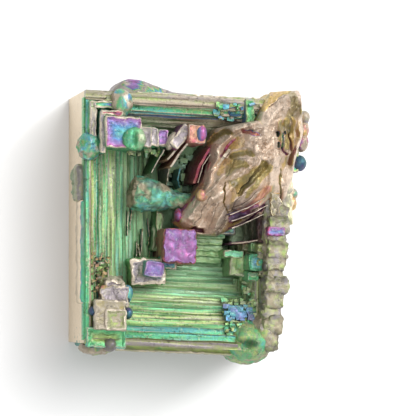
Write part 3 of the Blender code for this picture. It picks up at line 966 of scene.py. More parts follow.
def north_west_growths() -> list[Shape]:
    """The rounded boss and the knobs of the north-west arm."""
    x, y, z = middle = (-11.9, 14.6, 27.0)
    boss = bead(middle, (2.2, 2.15, 1.35), EMERALD, 0.0, 0.0, 0.14, 3, 5, 0.03)
    east = ease(-0.6, 0.9, boss.co[:, 0] - x)
    boss.film = EMERALD - 0.02 + 0.06 * east + 0.02 * lattice_noise(boss.co * 2, 5)
    boss.bare = 0.5 * east
    # The slit is sunk and painted dark: painted shade in the groove.
    slit = np.exp(-(((boss.co[:, 0] - x) / 0.45) ** 2) - ((boss.co[:, 1] - y) / 1.4) ** 4) * (boss.co[:, 2] > z)
    boss.dark = np.maximum(0.55 * slit, 0.12)
    boss.co[:, 2] -= 0.5 * slit
    middle = (-4.7, 14.5, 24.1)
    pale = bead(middle, (0.8, 1.75, 1.5), SILVER, 1.0, 0.0, 0.06, 8)
    pale.turn(-24.0, middle)
    violet = bead((0.3, 15.7, 26.9), (0.95, 1.45, 1.25), MAGENTA, 0.0, 0.0, 0.05, 12)
    violet.film = MAGENTA + 0.16 * ease(0.2, 0.9, np.abs(violet.co[:, 0] - 0.5))
    return [boss, pale, violet]


NORTH_WEST_ARM = (
    Block((-19.6, -18.3), (13.6, 21.4), (12.0, 25.2), LILAC, STRAW, EMERALD, 0.3, 0.2),
    Block((-19.5, -14.4), (20.1, 21.5), (14.0, 25.3), LILAC, SILVER, EMERALD, 0.3, 0.25),
    Block((-17.9, -16.7), (12.2, 19.7), (13.0, 26.1), LILAC, LILAC, TEAL, 0.3, 0.15, bare=1.1),
    Block((-17.8, -13.6), (18.7, 19.8), (13.5, 26.2), ROSE, MAGENTA + 0.04, TEAL, 0.35, 0.2),
    Block((-17.1, -10.5), (13.0, 18.6), (12.5, 27.4), MAGENTA, CYAN + 0.06, EMERALD, 0.3, 0.25),
    Block((-10.7, -8.4), (13.25, 17.1), (12.2, 25.6), LILAC, LILAC, EMERALD, 0.3, 0.2, bare=0.8, dark=0.12),
    Block((-8.6, -7.0), (13.4, 16.9), (12.0, 24.7), LILAC, LILAC, EMERALD, 0.25, 0.25),
    Block((-7.2, -5.1), (13.6, 16.6), (11.8, 23.9), VIOLET - 0.02, MAGENTA + 0.05, EMERALD, 0.25, 0.3),
    Block((-2.1, 1.0), (13.9, 17.3), (15.5, 27.4), ROSE, GOLD + 0.05, ROSE, 0.2, 0.1, bare=0.8),
    Block((-5.6, -0.8), (14.2, 16.2), (17.0, 26.2), LILAC, LILAC, MAGENTA, 0.3, 0.2, turn=53.0),
)

SOUTH_WEST_ARM = (
    Block((-20.0, -12.9), (-22.4, -18.9), (8.0, 24.7), EMERALD, LIME, TEAL, 0.35, 0.7, 2, 0.5),
    Block((-18.8, -13.1), (-19.3, -13.9), (10.0, 26.0), SILVER, SILVER, TEAL, 0.3, 0.1, 1, 1.1, 1.0, dark=0.16),
    Block((-17.0, -13.0), (-19.4, -15.5), (10.0, 26.3), STRAW, GREEN, TEAL, 0.45, 0.7, 2, 0.9, 1.0, dark=0.1),
    Block((-17.3, -12.4), (-15.2, -11.4), (9.0, 24.6), LILAC, LILAC, GREEN, 0.3, 0.1, 1, 1.2, 0.9, turn=9.0,
          round=0.6, rough=0.4, pitch=0.2),
    Block((-16.4, -12.6), (-11.7, -9.4), (9.0, 23.8), LILAC, LILAC, GREEN, 0.5, 0.2, 1, 1.1, 0.7,
          turn=-12.0, lean=10.0, round=0.6, rough=0.4, pitch=0.2),
    Block((-18.2, -15.4), (-12.6, -7.1), (9.5, 21.4), GREEN, STRAW, GREEN, 0.3, 0.5, dark=0.2),
    Block((-11.4, -4.9), (-11.2, -6.4), (6.0, 19.4), LILAC, STRAW, GREEN, 0.7, 0.5, 3, 0.7, turn=4.0,
          rough=0.3),
    Block((-9.1, -5.5), (-9.9, -7.0), (9.0, 21.3), VIOLET, VIOLET, TEAL, 0.3, 0.3, bare=0.5, turn=-6.0),
    Block((-6.0, -2.9), (-8.4, -6.1), (7.0, 19.9), TEAL, VIOLET, TEAL, 0.3, 0.3),
    Block((-5.8, 0.3), (-7.3, -1.2), (6.0, 22.6), VIOLET - 0.03, MAGENTA + 0.02, ROSE, 0.16, 0.25,
          bare=0.7, round=0.8, rough=0.3, dark=0.17),
)

PIT_FLOOR = (
    # The pit floor's darkness is painted shade at the bottom of the pit.
    Block((-8.5, 12.0), (-13.0, 16.0), (5.5, 8.4), GREEN, TEAL, GREEN, 0.0, 0.3, 3, 0.0, dark=0.5),
    Block((0.8, 6.9), (-7.2, -5.9), (6.0, 10.9), GREEN, LIME, GREEN, 0.15, 0.2, bare=0.5),
    Block((0.9, 6.6), (-6.0, -4.9), (6.0, 12.1), LIME, GREEN, GREEN, 0.15, 0.2, bare=0.5),
    Block((0.7, 6.8), (-5.0, -3.8), (6.0, 13.2), GREEN, LIME, GREEN, 0.15, 0.2, bare=0.5),
    Block((0.8, 6.5), (-3.9, -2.7), (6.0, 14.4), LIME, GREEN, GREEN, 0.15, 0.2, bare=0.5),
    Block((0.6, 6.7), (-2.8, -1.2), (6.0, 15.7), GREEN, EMERALD, GREEN, 0.2, 0.2, bare=0.5),
    Block((-2.2, 8.4), (-1.9, 0.9), (6.0, 17.3), VIOLET, LILAC, VIOLET, 0.3, 0.3),
    Block((7.3, 10.9), (-9.7, -5.8), (6.0, 17.0), STRAW, GREEN, GREEN, 0.3, 0.4, 2, turn=-3.0, dark=0.15),
    Block((6.0, 9.9), (-6.3, -4.9), (6.0, 17.6), EMERALD, TEAL, GREEN, 0.2, 0.2),
    Block((9.9, 12.4), (-8.7, -5.7), (6.0, 22.0), EMERALD, BLUE + 0.04, EMERALD, 0.2, 0.5, bare=0.4),
    Block((9.8, 11.8), (-10.5, -8.8), (6.0, 21.2), EMERALD, GREEN, EMERALD, 0.25, 0.3, bare=0.6),
    # A near-black block in the hollow under the torn corner: painted shade of the cavity.
    Block((7.6, 14.6), (-3.6, 1.2), (6.0, 15.5), CRIMSON, CRIMSON, CRIMSON, 0.0, 0.1, bare=0.0, dark=0.93),
    Block((13.4, 15.4), (0.9, 5.4), (12.0, 23.6), SILVER, SILVER, ROSE, 0.0, 0.3, 2, 0.8, rough=0.4),
    Block((12.6, 15.9), (-2.4, -0.8), (10.0, 25.0), MAGENTA, BLUE, MAGENTA, 0.1, 0.15, bare=0.1, dark=0.15),
    Block((-6.4, -4.6), (-5.1, 2.1), (6.0, 14.1), GREEN, STRAW, GREEN, 0.3, 0.3, turn=-4.0),
)


def east_wall_blocks() -> list[Shape]:
    """The broken steps that climb the east wall, and north of them near-black blocks painted as the shade of the
    hollow.
    """
    rng = np.random.default_rng(8)
    spans = ((-9.7, -8.2), (-8.3, -6.7), (-6.8, -5.2), (-5.3, -3.6), (-3.6, 1.3))
    shapes = []
    for i, (low, high) in itertools.product(range(5), spans):
        hollow = high > -1
        x, y, z = rng.uniform(-0.3, 0.3, 3) * (not hollow)
        film = CRIMSON if hollow else rng.choice((GREEN, OLIVE, LIME, EMERALD, STRAW))
        # The hollow's blocks are painted near-black: painted shade.
        bare, dark = (0.1, 0.9) if hollow else (0.5, rng.uniform(0, 0.4))
        place = ((8.4 + 0.76 * i + x, 15.0), (low + y, high + y), (6.0, 12.5 + 2.4 * i + 2 * z))
        block = Block(*place, film, film, film, 0.2, bare=bare, dark=dark, rough=0.25, round=0.4, sunk=0.3)
        shapes.append(block.shape(200 + len(shapes)))
    return shapes


NORTH_BLOCKS = (
    Block((5.9, 8.3), (19.1, 21.6), (14.0, 23.3), BLUE, TEAL, BLUE, 0.2, 0.3, bare=0.3, dark=0.5),
    Block((8.7, 10.4), (17.9, 22.2), (12.0, 24.8), GREEN, EMERALD, BLUE, 0.25, 0.2, bare=0.6),
    Block((10.1, 12.2), (18.6, 21.7), (12.0, 22.4), BLUE, CYAN, BLUE, 0.2, 0.3, bare=0.4, dark=0.3),
    Block((-10.5, 14.1), (21.9, 23.0), (18.6, 21.8), STRAW, SILVER, GREEN, 0.3, 0.2, bare=0.9),
)

WEST_RIM = (
    Block((-21.6, -19.5), (3.7, 10.3), (15.6, 22.4), LILAC, STRAW, STRAW, 0.0, 0.0, bare=0.3, dark=0.35,
          round=0.8, rough=0.3),
)

RIM_LEDGES = (
    Block((-21.0, -19.5), (-14.6, 3.9), (17.1, 23.3), TEAL, EMERALD, SILVER, 0.0, 0.0, bare=1.2,
          side_bare=0.9, round=0.5, rough=0.2),
    Block((-14.2, 8.2), (-23.5, -22.1), (17.2, 20.3), STRAW, GREEN, STRAW, 0.3, 0.2, bare=0.5, rough=0.12,
          dark=0.15),
    Block((12.2, 18.3), (-0.2, 22.0), (4.0, 21.0), STRAW, STRAW, STRAW, 0.3, 0.0, bare=1.2, side_bare=0.7,
          round=1.0, rough=0.35),
    Block((12.4, 17.3), (1.7, 20.1), (0.9, 4.3), LILAC, SILVER, STRAW, 0.3, 0.2, side_bare=0.6),
    Block((17.4, 20.1), (9.4, 20.9), (12.6, 17.6), LILAC, ROSE, LILAC, 0.3, 0.2, bare=0.8, rough=0.2),
)


# --------------------------------------------------------------------------- rubble


@dataclass(frozen=True)
class Patch:
    """A parallelogram that small broken blocks grew on, from a corner and two sides."""

    corner: Point3
    across: Point3
    up: Point3
    film: float
    spread: float = 0.15
    bare: float = 0.2
    size: float = 0.9
    density: float = 1.3
    dark: float = 0.0


PATCHES = (
    Patch((5.6, -20.4, 22.6), (6.6, 0.0, -0.8), (0.0, 6.6, -5.6), 0.76, 0.14, 0.15, 0.6, 2.2),
    Patch((9.6, -19.0, 19.6), (0.0, 9.0, -4.6), (3.2, 0.0, 2.6), 0.78, 0.16, 0.2, 0.8, 1.6),
    Patch((10.9, -10.6, 12.0), (0.0, 7.0, 0.0), (2.6, 0.0, 9.5), 0.8, 0.14, 0.3, 0.8, 0.7),
    Patch((6.0, -17.5, 20.9), (5.4, 0.0, -0.8), (0.0, 2.4, -1.8), 0.46, 0.07, 0.05, 0.9, 2.6),
    Patch((3.4, 18.6, 21.2), (8.6, 0.0, -0.3), (0.0, 2.6, 3.4), 0.7, 0.25, 0.3, 0.8, 1.7),
    Patch((-19.1, -12.6, 22.6), (3.6, 0.0, -1.3), (0.0, 7.0, -0.1), 0.1, 0.07, 0.1, 0.4, 2.0, 0.5),
    Patch((-16.8, 20.2, 23.7), (2.8, 0.0, 0.0), (0.0, 2.0, 0.5), 0.86, 0.12, 0.4, 0.7, 1.6),
    Patch((-12.0, 12.0, 21.6), (6.6, 0.0, -1.9), (0.0, 1.4, 0.5), 0.84, 0.14, 0.1, 0.7, 1.8, 0.15),
    Patch((-4.5, 3.4, 9.4), (7.0, 0.0, 0.0), (0.0, 9.0, 1.0), 0.6, 0.25, 0.0, 1.0, 1.0, 0.4),
)


@dataclass
class Rubble:
    """Small broken blocks, scattered over patches."""

    patches: tuple[Patch, ...] = PATCHES
    parts: int = 5
    seed: int = 4
    tilt: float = 0.12
    unevenness: float = 0.3

    def guide(self) -> Object:
        """A face for each patch, with what grows on it."""
        corners = [
            np.array(p.corner) + (i * np.array(p.across) + j * np.array(p.up)) for p in self.patches for i, j in SQUARE
        ]
        faces = [tuple(range(4 * i, 4 * i + 4)) for i in range(len(self.patches))]
        guide = placed("guide patches", new_mesh("guide", corners, faces))
        for key in ("film", "spread", "bare", "size", "density", "dark"):
            store(guide.data, f"patch {key}", [getattr(p, key) for p in self.patches], "FACE")
        return guide

    def tree(self) -> Growth:
        """The tree that scatters uneven blocks over a guide's faces."""
        inputs = {"Parts": self.parts, "Seed": self.seed, "Tilt": self.tilt, "Unevenness": self.unevenness}
        t = Growth("rubble", inputs)
        source = t.source

        def varied(low: Point3, high: Point3, seed: int) -> Socket:
            """Three random numbers for each block."""
            node = t.add("FunctionNodeRandomValue", data_type="FLOAT_VECTOR")
            for socket, value in zip(node.inputs, (low, high)):
                socket.default_value = value
            return t.fill(node, {"Seed": seed}).outputs[0]

        per_square_metre = t.product(t.named("patch density"), 1 / MM**2)
        scatter = t.add("GeometryNodeDistributePointsOnFaces", distribute_method="RANDOM")
        t.fill(scatter, {"Mesh": source["Geometry"], "Density": per_square_metre, "Seed": source["Seed"]})
        tones = varied((-1, -1, -1), (1, 1, 1), 1)
        points = t.stored(scatter.outputs["Points"], "tones", tones, "FLOAT_VECTOR")
        angle = t.scaled(varied((-1, -1, -2), (1, 1, 2), 2), source["Tilt"])
        size = t.scaled(varied((0.5, 0.4, 1.0), (1.6, 1.3, 2.2), 3), t.product(t.named("patch size"), MM))
        blocks = t.cubes(points, [source["Parts"]] * 3, angle, size)
        bent = t.vector("SUBTRACT", t.noise(t.position(), 1100.0).node.outputs["Color"], (0.5, 0.5, 0.5))
        shaped = t.moved(blocks, t.scaled(bent, t.product(source["Unevenness"], 2.0 * MM)))
        first, second, third = t.split(t.named("tones", "FLOAT_VECTOR"))
        low = t.split(t.named("local", "FLOAT_VECTOR"))[2]
        # Darker at random, and darker towards each block's foot as painted shade.
        dark = t.math("MULTIPLY_ADD", t.ramp(third, 0.3, 1.0), 0.5, t.ramp(low, 0.3, -0.2, 0.0, 0.6))
        t.dress(
            shaped,
            t.math("MULTIPLY_ADD", first, t.named("patch spread"), t.named("patch film")),
            t.math("MULTIPLY_ADD", second, 0.35, t.named("patch bare")),
            t.math("ADD", dark, t.named("patch dark")),
            t.scaled(t.position(), 1 / MM),
        )
        return t

    def build(self, finish: Material) -> None:
        """Grows the rubble."""
        self.tree().grow("broken_blocks", self.guide(), finish, {})


# --------------------------------------------------------------------------- torn corner


@dataclass(frozen=True)
class Stroke:
    """A ridge, groove, hollow or patch along a line on the torn metal, as seen from above the south-west."""

    line: tuple[Point2, ...]
    width: Point2
    lift: float = 0.0
    film: float | None = None
    bare: float | None = None
    dark: float = 0.0
    grit: float = 0.0

    def cover(self, seen: Array) -> Array:
        """How strongly the stroke covers points, from 0 to 1.

        Args:
            seen: The points as seen.

        Returns:
            A share for each point.
        """
        count = len(self.line) - 1
        away, share = line_distance(seen, [(*p, i / count) for i, p in enumerate(self.line)])
        width = self.width[0] + (self.width[1] - self.width[0]) * share
        return 1 - ease(0.5, 1.25, away / width)


# The strokes that sink the surface are mostly darkened too: painted shade in their grooves and hollows.
TORN_STROKES = tuple(itertools.starmap(Stroke, (
    (((15.3, 21.1), (13.3, 18.9), (12.6, 16.1), (12.2, 13.2), (11.5, 11.1)), (1.6, 1.3), 0.0, GOLD, 1.0, 0.02, 1.0),
    (((15.5, 12.8), (14.0, 12.5), (11.5, 12.8), (8.9, 14.6)), (1.0, 0.9), 0.1, GOLD, 1.0, 0.03, 1.0),
    (((10.4, 11.4), (8.2, 9.6), (6.0, 7.8)), (0.8, 0.5), 0.1, GOLD, 1.0, 0.03, 1.0),
    (((8.6, 18.6), (10.2, 16.6), (11.2, 14.2)), (1.2, 1.3), -0.1, LILAC, 0.85, 0.14, 1.3),
    (((2.7, 6.0), (1.3, 3.5), (-0.5, 1.4), (-2.4, -0.4)), (0.9, 1.2), 0.25, ROSE, 0.9, 0.05, 0.6),
    (((6.7, 17.8), (4.9, 17.5), (3.1, 16.4)), (0.6, 0.5), 0.2, ROSE, 0.95, 0.03, 0.3),
    (((12.0, 20.3), (12.9, 22.0), (14.2, 23.1), (16.2, 23.7)), (0.6, 0.6), 0.25, GOLD, 0.0),
    (((12.9, 20.5), (14.2, 22.0), (16.8, 23.2)), (0.1, 0.08), -0.2, None, None, 0.55),
    (((16.9, 22.6), (17.7, 21.0), (16.6, 19.4)), (1.0, 1.1), 0.0, OLIVE, 0.45, 0.12, 1.3),
    (((14.8, 18.0), (14.6, 13.6)), (0.42, 0.4), 0.45, OLIVE, 0.35),
    (((15.9, 18.2), (16.0, 13.4)), (0.42, 0.4), 0.5, OLIVE, 0.2),
    (((17.1, 18.6), (17.1, 13.2)), (0.45, 0.4), 0.5, GOLD, 0.45),
    (((18.2, 18.0), (18.0, 13.6)), (0.4, 0.35), 0.3, GOLD, 0.5),
    (((15.3, 15.9), (15.3, 13.4)), (0.14, 0.2), -0.5, GREEN, 0.1, 0.6),
    (((16.6, 16.2), (16.8, 13.0)), (0.12, 0.2), -0.5, ROSE, 0.2, 0.55),
    (((14.4, 16.2), (14.4, 15.5)), (0.28, 0.25), -0.6, GREEN, 0.0, 0.9),
    (((15.7, 16.2), (15.7, 15.9)), (0.26, 0.24), -0.6, GREEN, 0.0, 0.9),
    (((14.4, 14.1), (14.4, 13.7)), (0.24, 0.24), -0.6, GREEN, 0.0, 0.9),
    (((18.0, 16.4), (18.0, 15.7)), (0.32, 0.28), -0.4, ROSE, 0.0, 0.35),
    (((15.1, 13.4), (16.0, 12.1)), (0.3, 0.25), -0.6, MAGENTA, 0.1, 0.65),
    (((17.5, 13.2), (17.0, 12.1), (16.8, 10.7)), (0.4, 0.45), -0.7, ROSE, 0.2, 0.6),
    (((1.6, 14.1), (3.1, 15.3), (4.6, 16.1), (5.6, 15.9)), (0.35, 0.6), -0.8, OLIVE, 0.15, 0.5),
    (((8.2, 16.4), (9.5, 16.1)), (0.5, 0.5), -0.7, ROSE, 0.0, 0.35),
    (((9.7, 15.7), (10.8, 15.7)), (0.4, 0.4), 0.1, ROSE, 0.25, 0.0, 0.3),
    (((5.6, 15.2), (4.2, 13.2), (3.3, 11.1), (2.2, 9.1), (1.3, 6.2)), (0.4, 0.35), 0.55, ROSE, 0.6),
    (((6.4, 14.8), (4.9, 13.2), (4.0, 11.8)), (0.3, 0.25), -0.25, MAGENTA, 0.45, 0.2),
    (((8.0, 14.4), (6.2, 13.0), (4.9, 11.1), (3.8, 8.9)), (0.8, 0.6), 0.0, GOLD, 0.45, 0.05),
    (((4.9, 11.6), (6.2, 12.8), (8.0, 13.4), (9.7, 13.2)), (0.16, 0.14), 0.3, None, 1.0),
    (((6.0, 11.6), (7.5, 12.3), (8.9, 12.5), (10.0, 12.1)), (0.4, 0.5), -0.5, OLIVE, 0.3, 0.35),
    (((5.3, 8.9), (6.2, 10.0), (7.3, 10.5), (8.7, 10.3)), (0.7, 0.6), 0.2, OLIVE, 0.3, 0.05),
    (((4.7, 7.8), (5.6, 9.3), (6.7, 11.1), (8.6, 11.4)), (0.12, 0.12), -0.25, None, None, 0.5),
    (((3.1, 7.1), (4.0, 6.4)), (0.35, 0.35), -0.3, None, None, 0.5, 1.0),
    (((10.8, 9.3), (8.9, 7.8), (7.7, 6.4), (6.7, 5.3)), (1.1, 1.0), 0.15, GOLD - 0.03, 0.35, 0.02),
    (((13.7, 9.6), (11.5, 6.4), (9.3, 3.7), (7.5, 1.9)), (1.5, 1.3), 0.5, GOLD + 0.03, 0.65),
    (((12.9, 9.9), (10.6, 6.9), (8.6, 4.6)), (0.55, 0.45), 0.15, GOLD - 0.04, 0.1, 0.04),
    (((12.6, 6.0), (10.8, 3.9), (8.9, 2.3), (6.7, 1.4)), (0.8, 0.7), 0.0, ROSE, 0.3),
    (((11.9, 10.4), (10.2, 8.2), (8.7, 6.5), (7.3, 5.0)), (0.7, 0.3), -1.1, OLIVE, 0.0, 0.3),
    (((11.3, 9.9), (9.6, 7.9), (8.1, 6.4), (7.0, 5.1)), (0.22, 0.12), -0.5, OLIVE, 0.0, 0.7),
    (((6.0, 0.4), (7.5, 1.2), (9.1, 1.4)), (0.75, 0.55), -0.1, VIOLET, 0.45, 0.05, 0.5),
    (((8.9, 1.8), (10.0, 2.5), (10.8, 2.8)), (0.5, 0.4), -0.1, MAGENTA, 0.45, 0.0, 0.5),
    (((11.5, 2.5), (12.2, 3.2), (13.1, 3.7)), (0.5, 0.4), -0.1, MAGENTA, 0.45, 0.0, 0.5),
    (((5.4, 2.2), (7.4, 2.9), (9.4, 4.2), (11.2, 6.0)), (0.09, 0.09), -0.3, None, None, 0.6),
    (((6.2, -0.4), (7.9, 0.6), (9.8, 1.6), (12.0, 3.2)), (0.12, 0.1), -0.4, None, None, 0.7),
    (((6.3, -0.9), (8.2, 0.1), (10.1, 1.1)), (0.16, 0.14), 0.3, SILVER, 1.0),
    (((14.0, 4.6), (11.8, 2.6), (10.0, 1.0), (8.6, -0.0)), (0.16, 0.22), -0.8, MAGENTA, 0.1, 0.75),
    (((13.3, 3.0), (11.5, 1.4), (9.7, 0.1), (8.0, -0.9)), (0.22, 0.2), 0.45, SILVER, 0.85, 0.0, 0.2),
    (((12.9, 1.9), (11.5, 0.7), (9.7, -0.6)), (0.12, 0.14), -0.7, MAGENTA, 0.1, 0.8),
    (((13.7, 1.8), (11.8, 0.5), (10.0, -0.9), (7.8, -1.6)), (0.2, 0.2), 0.5, SILVER, 0.9, 0.0, 0.2),
    (((4.2, 5.6), (2.7, 2.3), (0.6, -0.8)), (1.9, 2.2), 0.1, ROSE - 0.04, 0.75, 0.0, 0.15),
    (((1.9, 4.4), (0.5, 1.6), (-0.9, -0.6)), (0.12, 0.14), -0.3, None, None, 0.5),
    (((3.6, 3.4), (2.6, 1.2), (1.9, -0.9)), (0.1, 0.12), -0.2, None, None, 0.45),
    (((4.6, 7.1), (4.6, 4.6), (4.9, 2.3), (5.5, 1.0)), (0.12, 0.16), -0.45, GOLD, 0.2, 0.7),
    (((5.6, 6.2), (6.2, 5.2), (6.2, 3.4), (5.5, 1.8)), (0.55, 0.5), 0.15, GOLD, 0.5),
    (((6.7, 5.3), (7.1, 4.1), (5.8, 1.8)), (0.12, 0.1), -0.4, None, None, 0.5),
    (((4.9, 1.0), (4.2, -0.7), (3.5, -2.0)), (0.35, 0.5), -0.3, SILVER, 0.6, 0.5, 1.5),
    (((-1.6, -1.8), (-0.5, -1.3), (0.7, -1.6)), (0.4, 0.45), -1.0, MAGENTA, 0.05, 0.85),
    (((1.1, 6.8), (0.2, 5.0), (-0.9, 2.8)), (0.2, 0.2), -0.3, None, None, 0.35, 0.3),
    (((14.2, 9.6), (14.2, 5.7), (13.5, 1.4)), (0.5, 0.5), 0.2, GOLD, 0.75),
    (((14.9, 9.6), (14.9, 5.3), (14.2, 1.0)), (0.14, 0.2), -0.4, OLIVE, 0.35, 0.45),
    (((15.9, 9.3), (15.7, 5.0), (14.9, 0.7)), (0.5, 0.5), 0.25, ROSE, 0.8, 0.0, 0.3),
)))  # fmt: skip


@dataclass
class TornCorner:
    """The north-east corner, torn open: folded crests and hollows of bare metal over a coloured fringe."""

    north_west: tuple[Point2, ...] = (
        (13.4, 23.5), (11.8, 21.2), (10.5, 18.2), (7.3, 17.7), (3.8, 16.9), (2.3, 14.6),
        (2.4, 11.1), (1.4, 7.6), (-0.4, 4.6), (-2.0, 2.4), (-3.2, 0.1),
    )  # fmt: skip
    south_east: tuple[Point2, ...] = (
        (18.1, 23.7), (18.8, 20.5), (19.6, 16.6), (18.8, 12.9), (17.8, 9.3), (16.8, 4.9),
        (14.8, 1.6), (11.9, 0.7), (8.5, -0.6), (4.6, -2.4), (-1.0, -1.9),
    )  # fmt: skip
    crests: tuple[tuple[tuple[Point3, ...], float], ...] = (
        (((17.4, 22.9, 29.6), (14.0, 20.0, 28.4), (11.0, 17.2, 29.4), (10.1, 12.9, 29.8), (8.2, 10.2, 28.0),
          (4.8, 7.9, 26.6), (1.6, 4.9, 24.6), (-0.5, 1.5, 21.6)), 1.5),
        (((18.4, 21.8, 28.0), (18.6, 17.6, 26.4), (18.1, 13.0, 25.8), (16.9, 6.1, 24.0), (15.4, 0.8, 20.6)), 1.9),
        (((11.1, 11.0, 29.0), (9.3, 6.6, 27.2), (5.8, 3.1, 25.0), (3.9, -0.8, 21.6)), 1.7),
        (((10.8, 16.9, 28.8), (6.4, 16.6, 27.8), (3.6, 13.2, 26.4), (2.4, 8.4, 23.8)), 2.2),
        (((12.6, 11.6, 28.6), (13.4, 7.6, 25.6), (11.2, 2.6, 23.6), (10.4, 0.3, 20.4)), 1.2),
        (((14.0, 18.6, 27.2), (14.9, 14.4, 26.6), (14.6, 11.8, 27.0)), 2.4),
    )  # fmt: skip
    sharpness: float = 0.8
    crest_radius: float = 0.25
    blend: float = 4.0
    floor: float = 18.6
    highest: float = 29.66
    foot: float = 12.4
    edge_drop: float = 1.6
    edge_width: float = 0.07
    rows: int = 200
    columns: int = 150
    skirt_rows: int = 16
    level: float = 26.0
    lean: Point2 = (0.175, 0.035)
    middle: Point2 = (10.0, 11.0)

    def height(self, plan: Array) -> tuple[Array, Array]:
        """The surface's height over points of the plan, and how deep each lies below the crests.

        Args:
            plan: Points with x, y and any third value.

        Returns:
            The heights and the depths.
        """
        level = 25.0  # keeps the powers small
        total = np.exp(self.blend * (self.floor - level)) * np.ones(len(plan))
        deep = np.full(len(plan), np.inf)
        for line, fall in self.crests:
            away, top = line_distance(plan, line)
            deep = np.minimum(deep, away)
            away = np.hypot(away, self.crest_radius) - self.crest_radius
            total += np.exp(self.blend * (top - fall * away**self.sharpness - level))
        return np.log(total) / self.blend + level, deep

    def build(self, finish: Material) -> None:
        """Makes the torn corner."""
        share = np.linspace(0, 1, self.rows + 1)
        edges = (np.array(self.north_west), np.array(self.south_east))
        first, last = (along(edge, np.arange(len(edge)), share * (len(edge) - 1)) for edge in edges)
        across = np.linspace(0, 1, self.columns + 1)
        plan = first[:, None] + (last - first)[:, None] * across[None, :, None]
        flat = np.pad(plan.reshape(-1, 2), ((0, 0), (0, 1)))
        warped = flat + np.stack([lattice_noise(flat * 0.45, 3), lattice_noise(flat * 0.45, 4), flat[:, 2]], 1) * 0.7
        height, deep = self.height(warped)
        u, v = np.repeat(share, self.columns + 1), np.tile(across, self.rows + 1)
        inward = np.minimum(np.minimum(v, 1 - v), np.minimum(u, 1 - u)) / self.edge_width
        drop = self.edge_drop * np.clip(1 - inward, 0, None) ** 2
        crest, _ = line_distance(flat, self.crests[0][0])
        folds = np.sin(crest * 4.2 + 2.0 * lattice_noise(flat * 0.3, 9))
        folds = folds * ease(0.5, 2.0, crest) * (1 - ease(3.0, 7.0, crest))
        grainy = ease(0.0, 0.5, lattice_noise(flat * 0.25, 21) + 0.35)
        lumps = 0.16 * rough_noise(flat / 1.6, 14) + 0.05 * grainy * rough_noise(flat / 0.5, 15)
        z = height - drop + 0.1 * folds + lumps
        seen = flat[:, :2] + (z[:, None] - self.level) * self.lean
        seen = seen + np.stack([rough_noise(flat / 1.2, 17 + i) for i in (0, 1)], 1) * 0.24
        covers = [stroke.cover(seen) for stroke in TORN_STROKES]
        for stroke, cover in zip(TORN_STROKES, covers):
            z += cover * (stroke.lift + stroke.grit * 0.3 * rough_noise(flat / 0.5, 18))
        top = np.stack([flat[:, 0], flat[:, 1], np.minimum(z, self.highest)], 1)
        shape = self.shell(top)
        self.tint(shape, len(top), deep, u, v, covers)
        make_piece("torn_corner", shape, finish, 60.0)

    def shell(self, top: Array) -> Shape:
        """The surface closed by a skirt that drops from its edge to the foot.

        Args:
            top: The surface's points, row by row.

        Returns:
            The closed shell, with the surface's points first.
        """
        grid = np.arange(len(top)).reshape(self.rows + 1, self.columns + 1)
        faces = [*np.stack([grid[:-1, :-1], grid[:-1, 1:], grid[1:, 1:], grid[1:, :-1]], 2).reshape(-1, 4)]
        rim = np.concatenate([grid[0, :-1], grid[:-1, -1], grid[-1, :0:-1], grid[:0:-1, 0]])
        rings = []
        for part in np.arange(1, self.skirt_rows + 1) / self.skirt_rows:
            ring = top[rim]
            ring[:, 2] += (self.foot - ring[:, 2]) * part
            bulge = 0.25 * rough_noise(ring / (1.4, 1.4, 2.4), 31) - 0.5 * part
            ring[:, :2] += one_long(ring[:, :2] - self.middle) * bulge[:, None]
            rings.append(ring)
        co = np.concatenate([top, *rings, [rings[-1].mean(axis=0)]])
        loops = [rim, *(len(top) + np.arange(len(rings) * len(rim)).reshape(len(rings), -1))]
        for upper, lower in zip(loops, loops[1:]):
            faces += zip(np.roll(upper, -1), upper, lower, np.roll(lower, -1))
        faces += zip(np.roll(lower, -1), lower, itertools.repeat(len(co) - 1))
        return Shape(co, [tuple(int(i) for i in face) for face in faces])

    def tint(self, shape: Shape, count: int, deep: Array, u: Array, v: Array, covers: Sequence[Array]) -> None:
        """Colours the corner: bare crests, olive hollows and a violet and maroon fringe.

        Args:
            shape: The corner's shell.
            count: How many of its points are on the surface, before the sides.
            deep: How far each surface point is from a crest.
            u: Each surface point's share from the tip to the south-west end.
            v: Each surface point's share from the north-west edge to the south-east edge.
            covers: How strongly each stroke covers each surface point.
        """
        film, bare, dark = (np.full(len(shape.co), value) for value in (float(MAGENTA), 0.0, 0.2))
        place = shape.co[:count]
        cloud, fine = rough_noise(place / 2.2, 61), rough_noise(place / 0.5, 64)
        fringe = (1 - ease(0.01, 0.06, v)) * ease(0.35, 0.5, u)
        hollow = ease(0.7, 2.0, deep + 0.5 * cloud)
        south = ease(6.0, 0.0, place[:, 1] + 0.3 * place[:, 0] - 2.0)
        film[:count] = GOLD - 0.03 + 0.12 * cloud + 0.07 * south + 0.1 * fringe
        bare[:count] = np.clip(0.75 - 0.45 * hollow - 0.3 * fringe + 0.4 * cloud, 0, 1)
        dark[:count] = np.clip(0.06 * hollow + 0.1 * fringe + 0.05 * cloud, 0, 0.7)
        for stroke, cover in zip(TORN_STROKES, covers):
            if stroke.film is not None:
                film[:count] += (stroke.film - film[:count]) * cover
            if stroke.bare is not None:
                bare[:count] += (stroke.bare - bare[:count]) * cover
            dark[:count] += (stroke.dark + stroke.grit * 0.3 * np.clip(fine - 0.2, 0, 1) - dark[:count]) * cover
        film[count:] = ROSE + 0.06 * rough_noise(shape.co[count:] / 2.0, 62)
        bare[count:] = 0.55 + 0.4 * rough_noise(shape.co[count:] / 1.6, 63)
        knob = ease(17.5, 19.5, shape.co[count:, 1])
        film[count:] += (GOLD - film[count:]) * knob
        dark[count:] *= 1 - knob
        bare[count:] *= 1 - knob
        shape.paint(film, bare, dark)
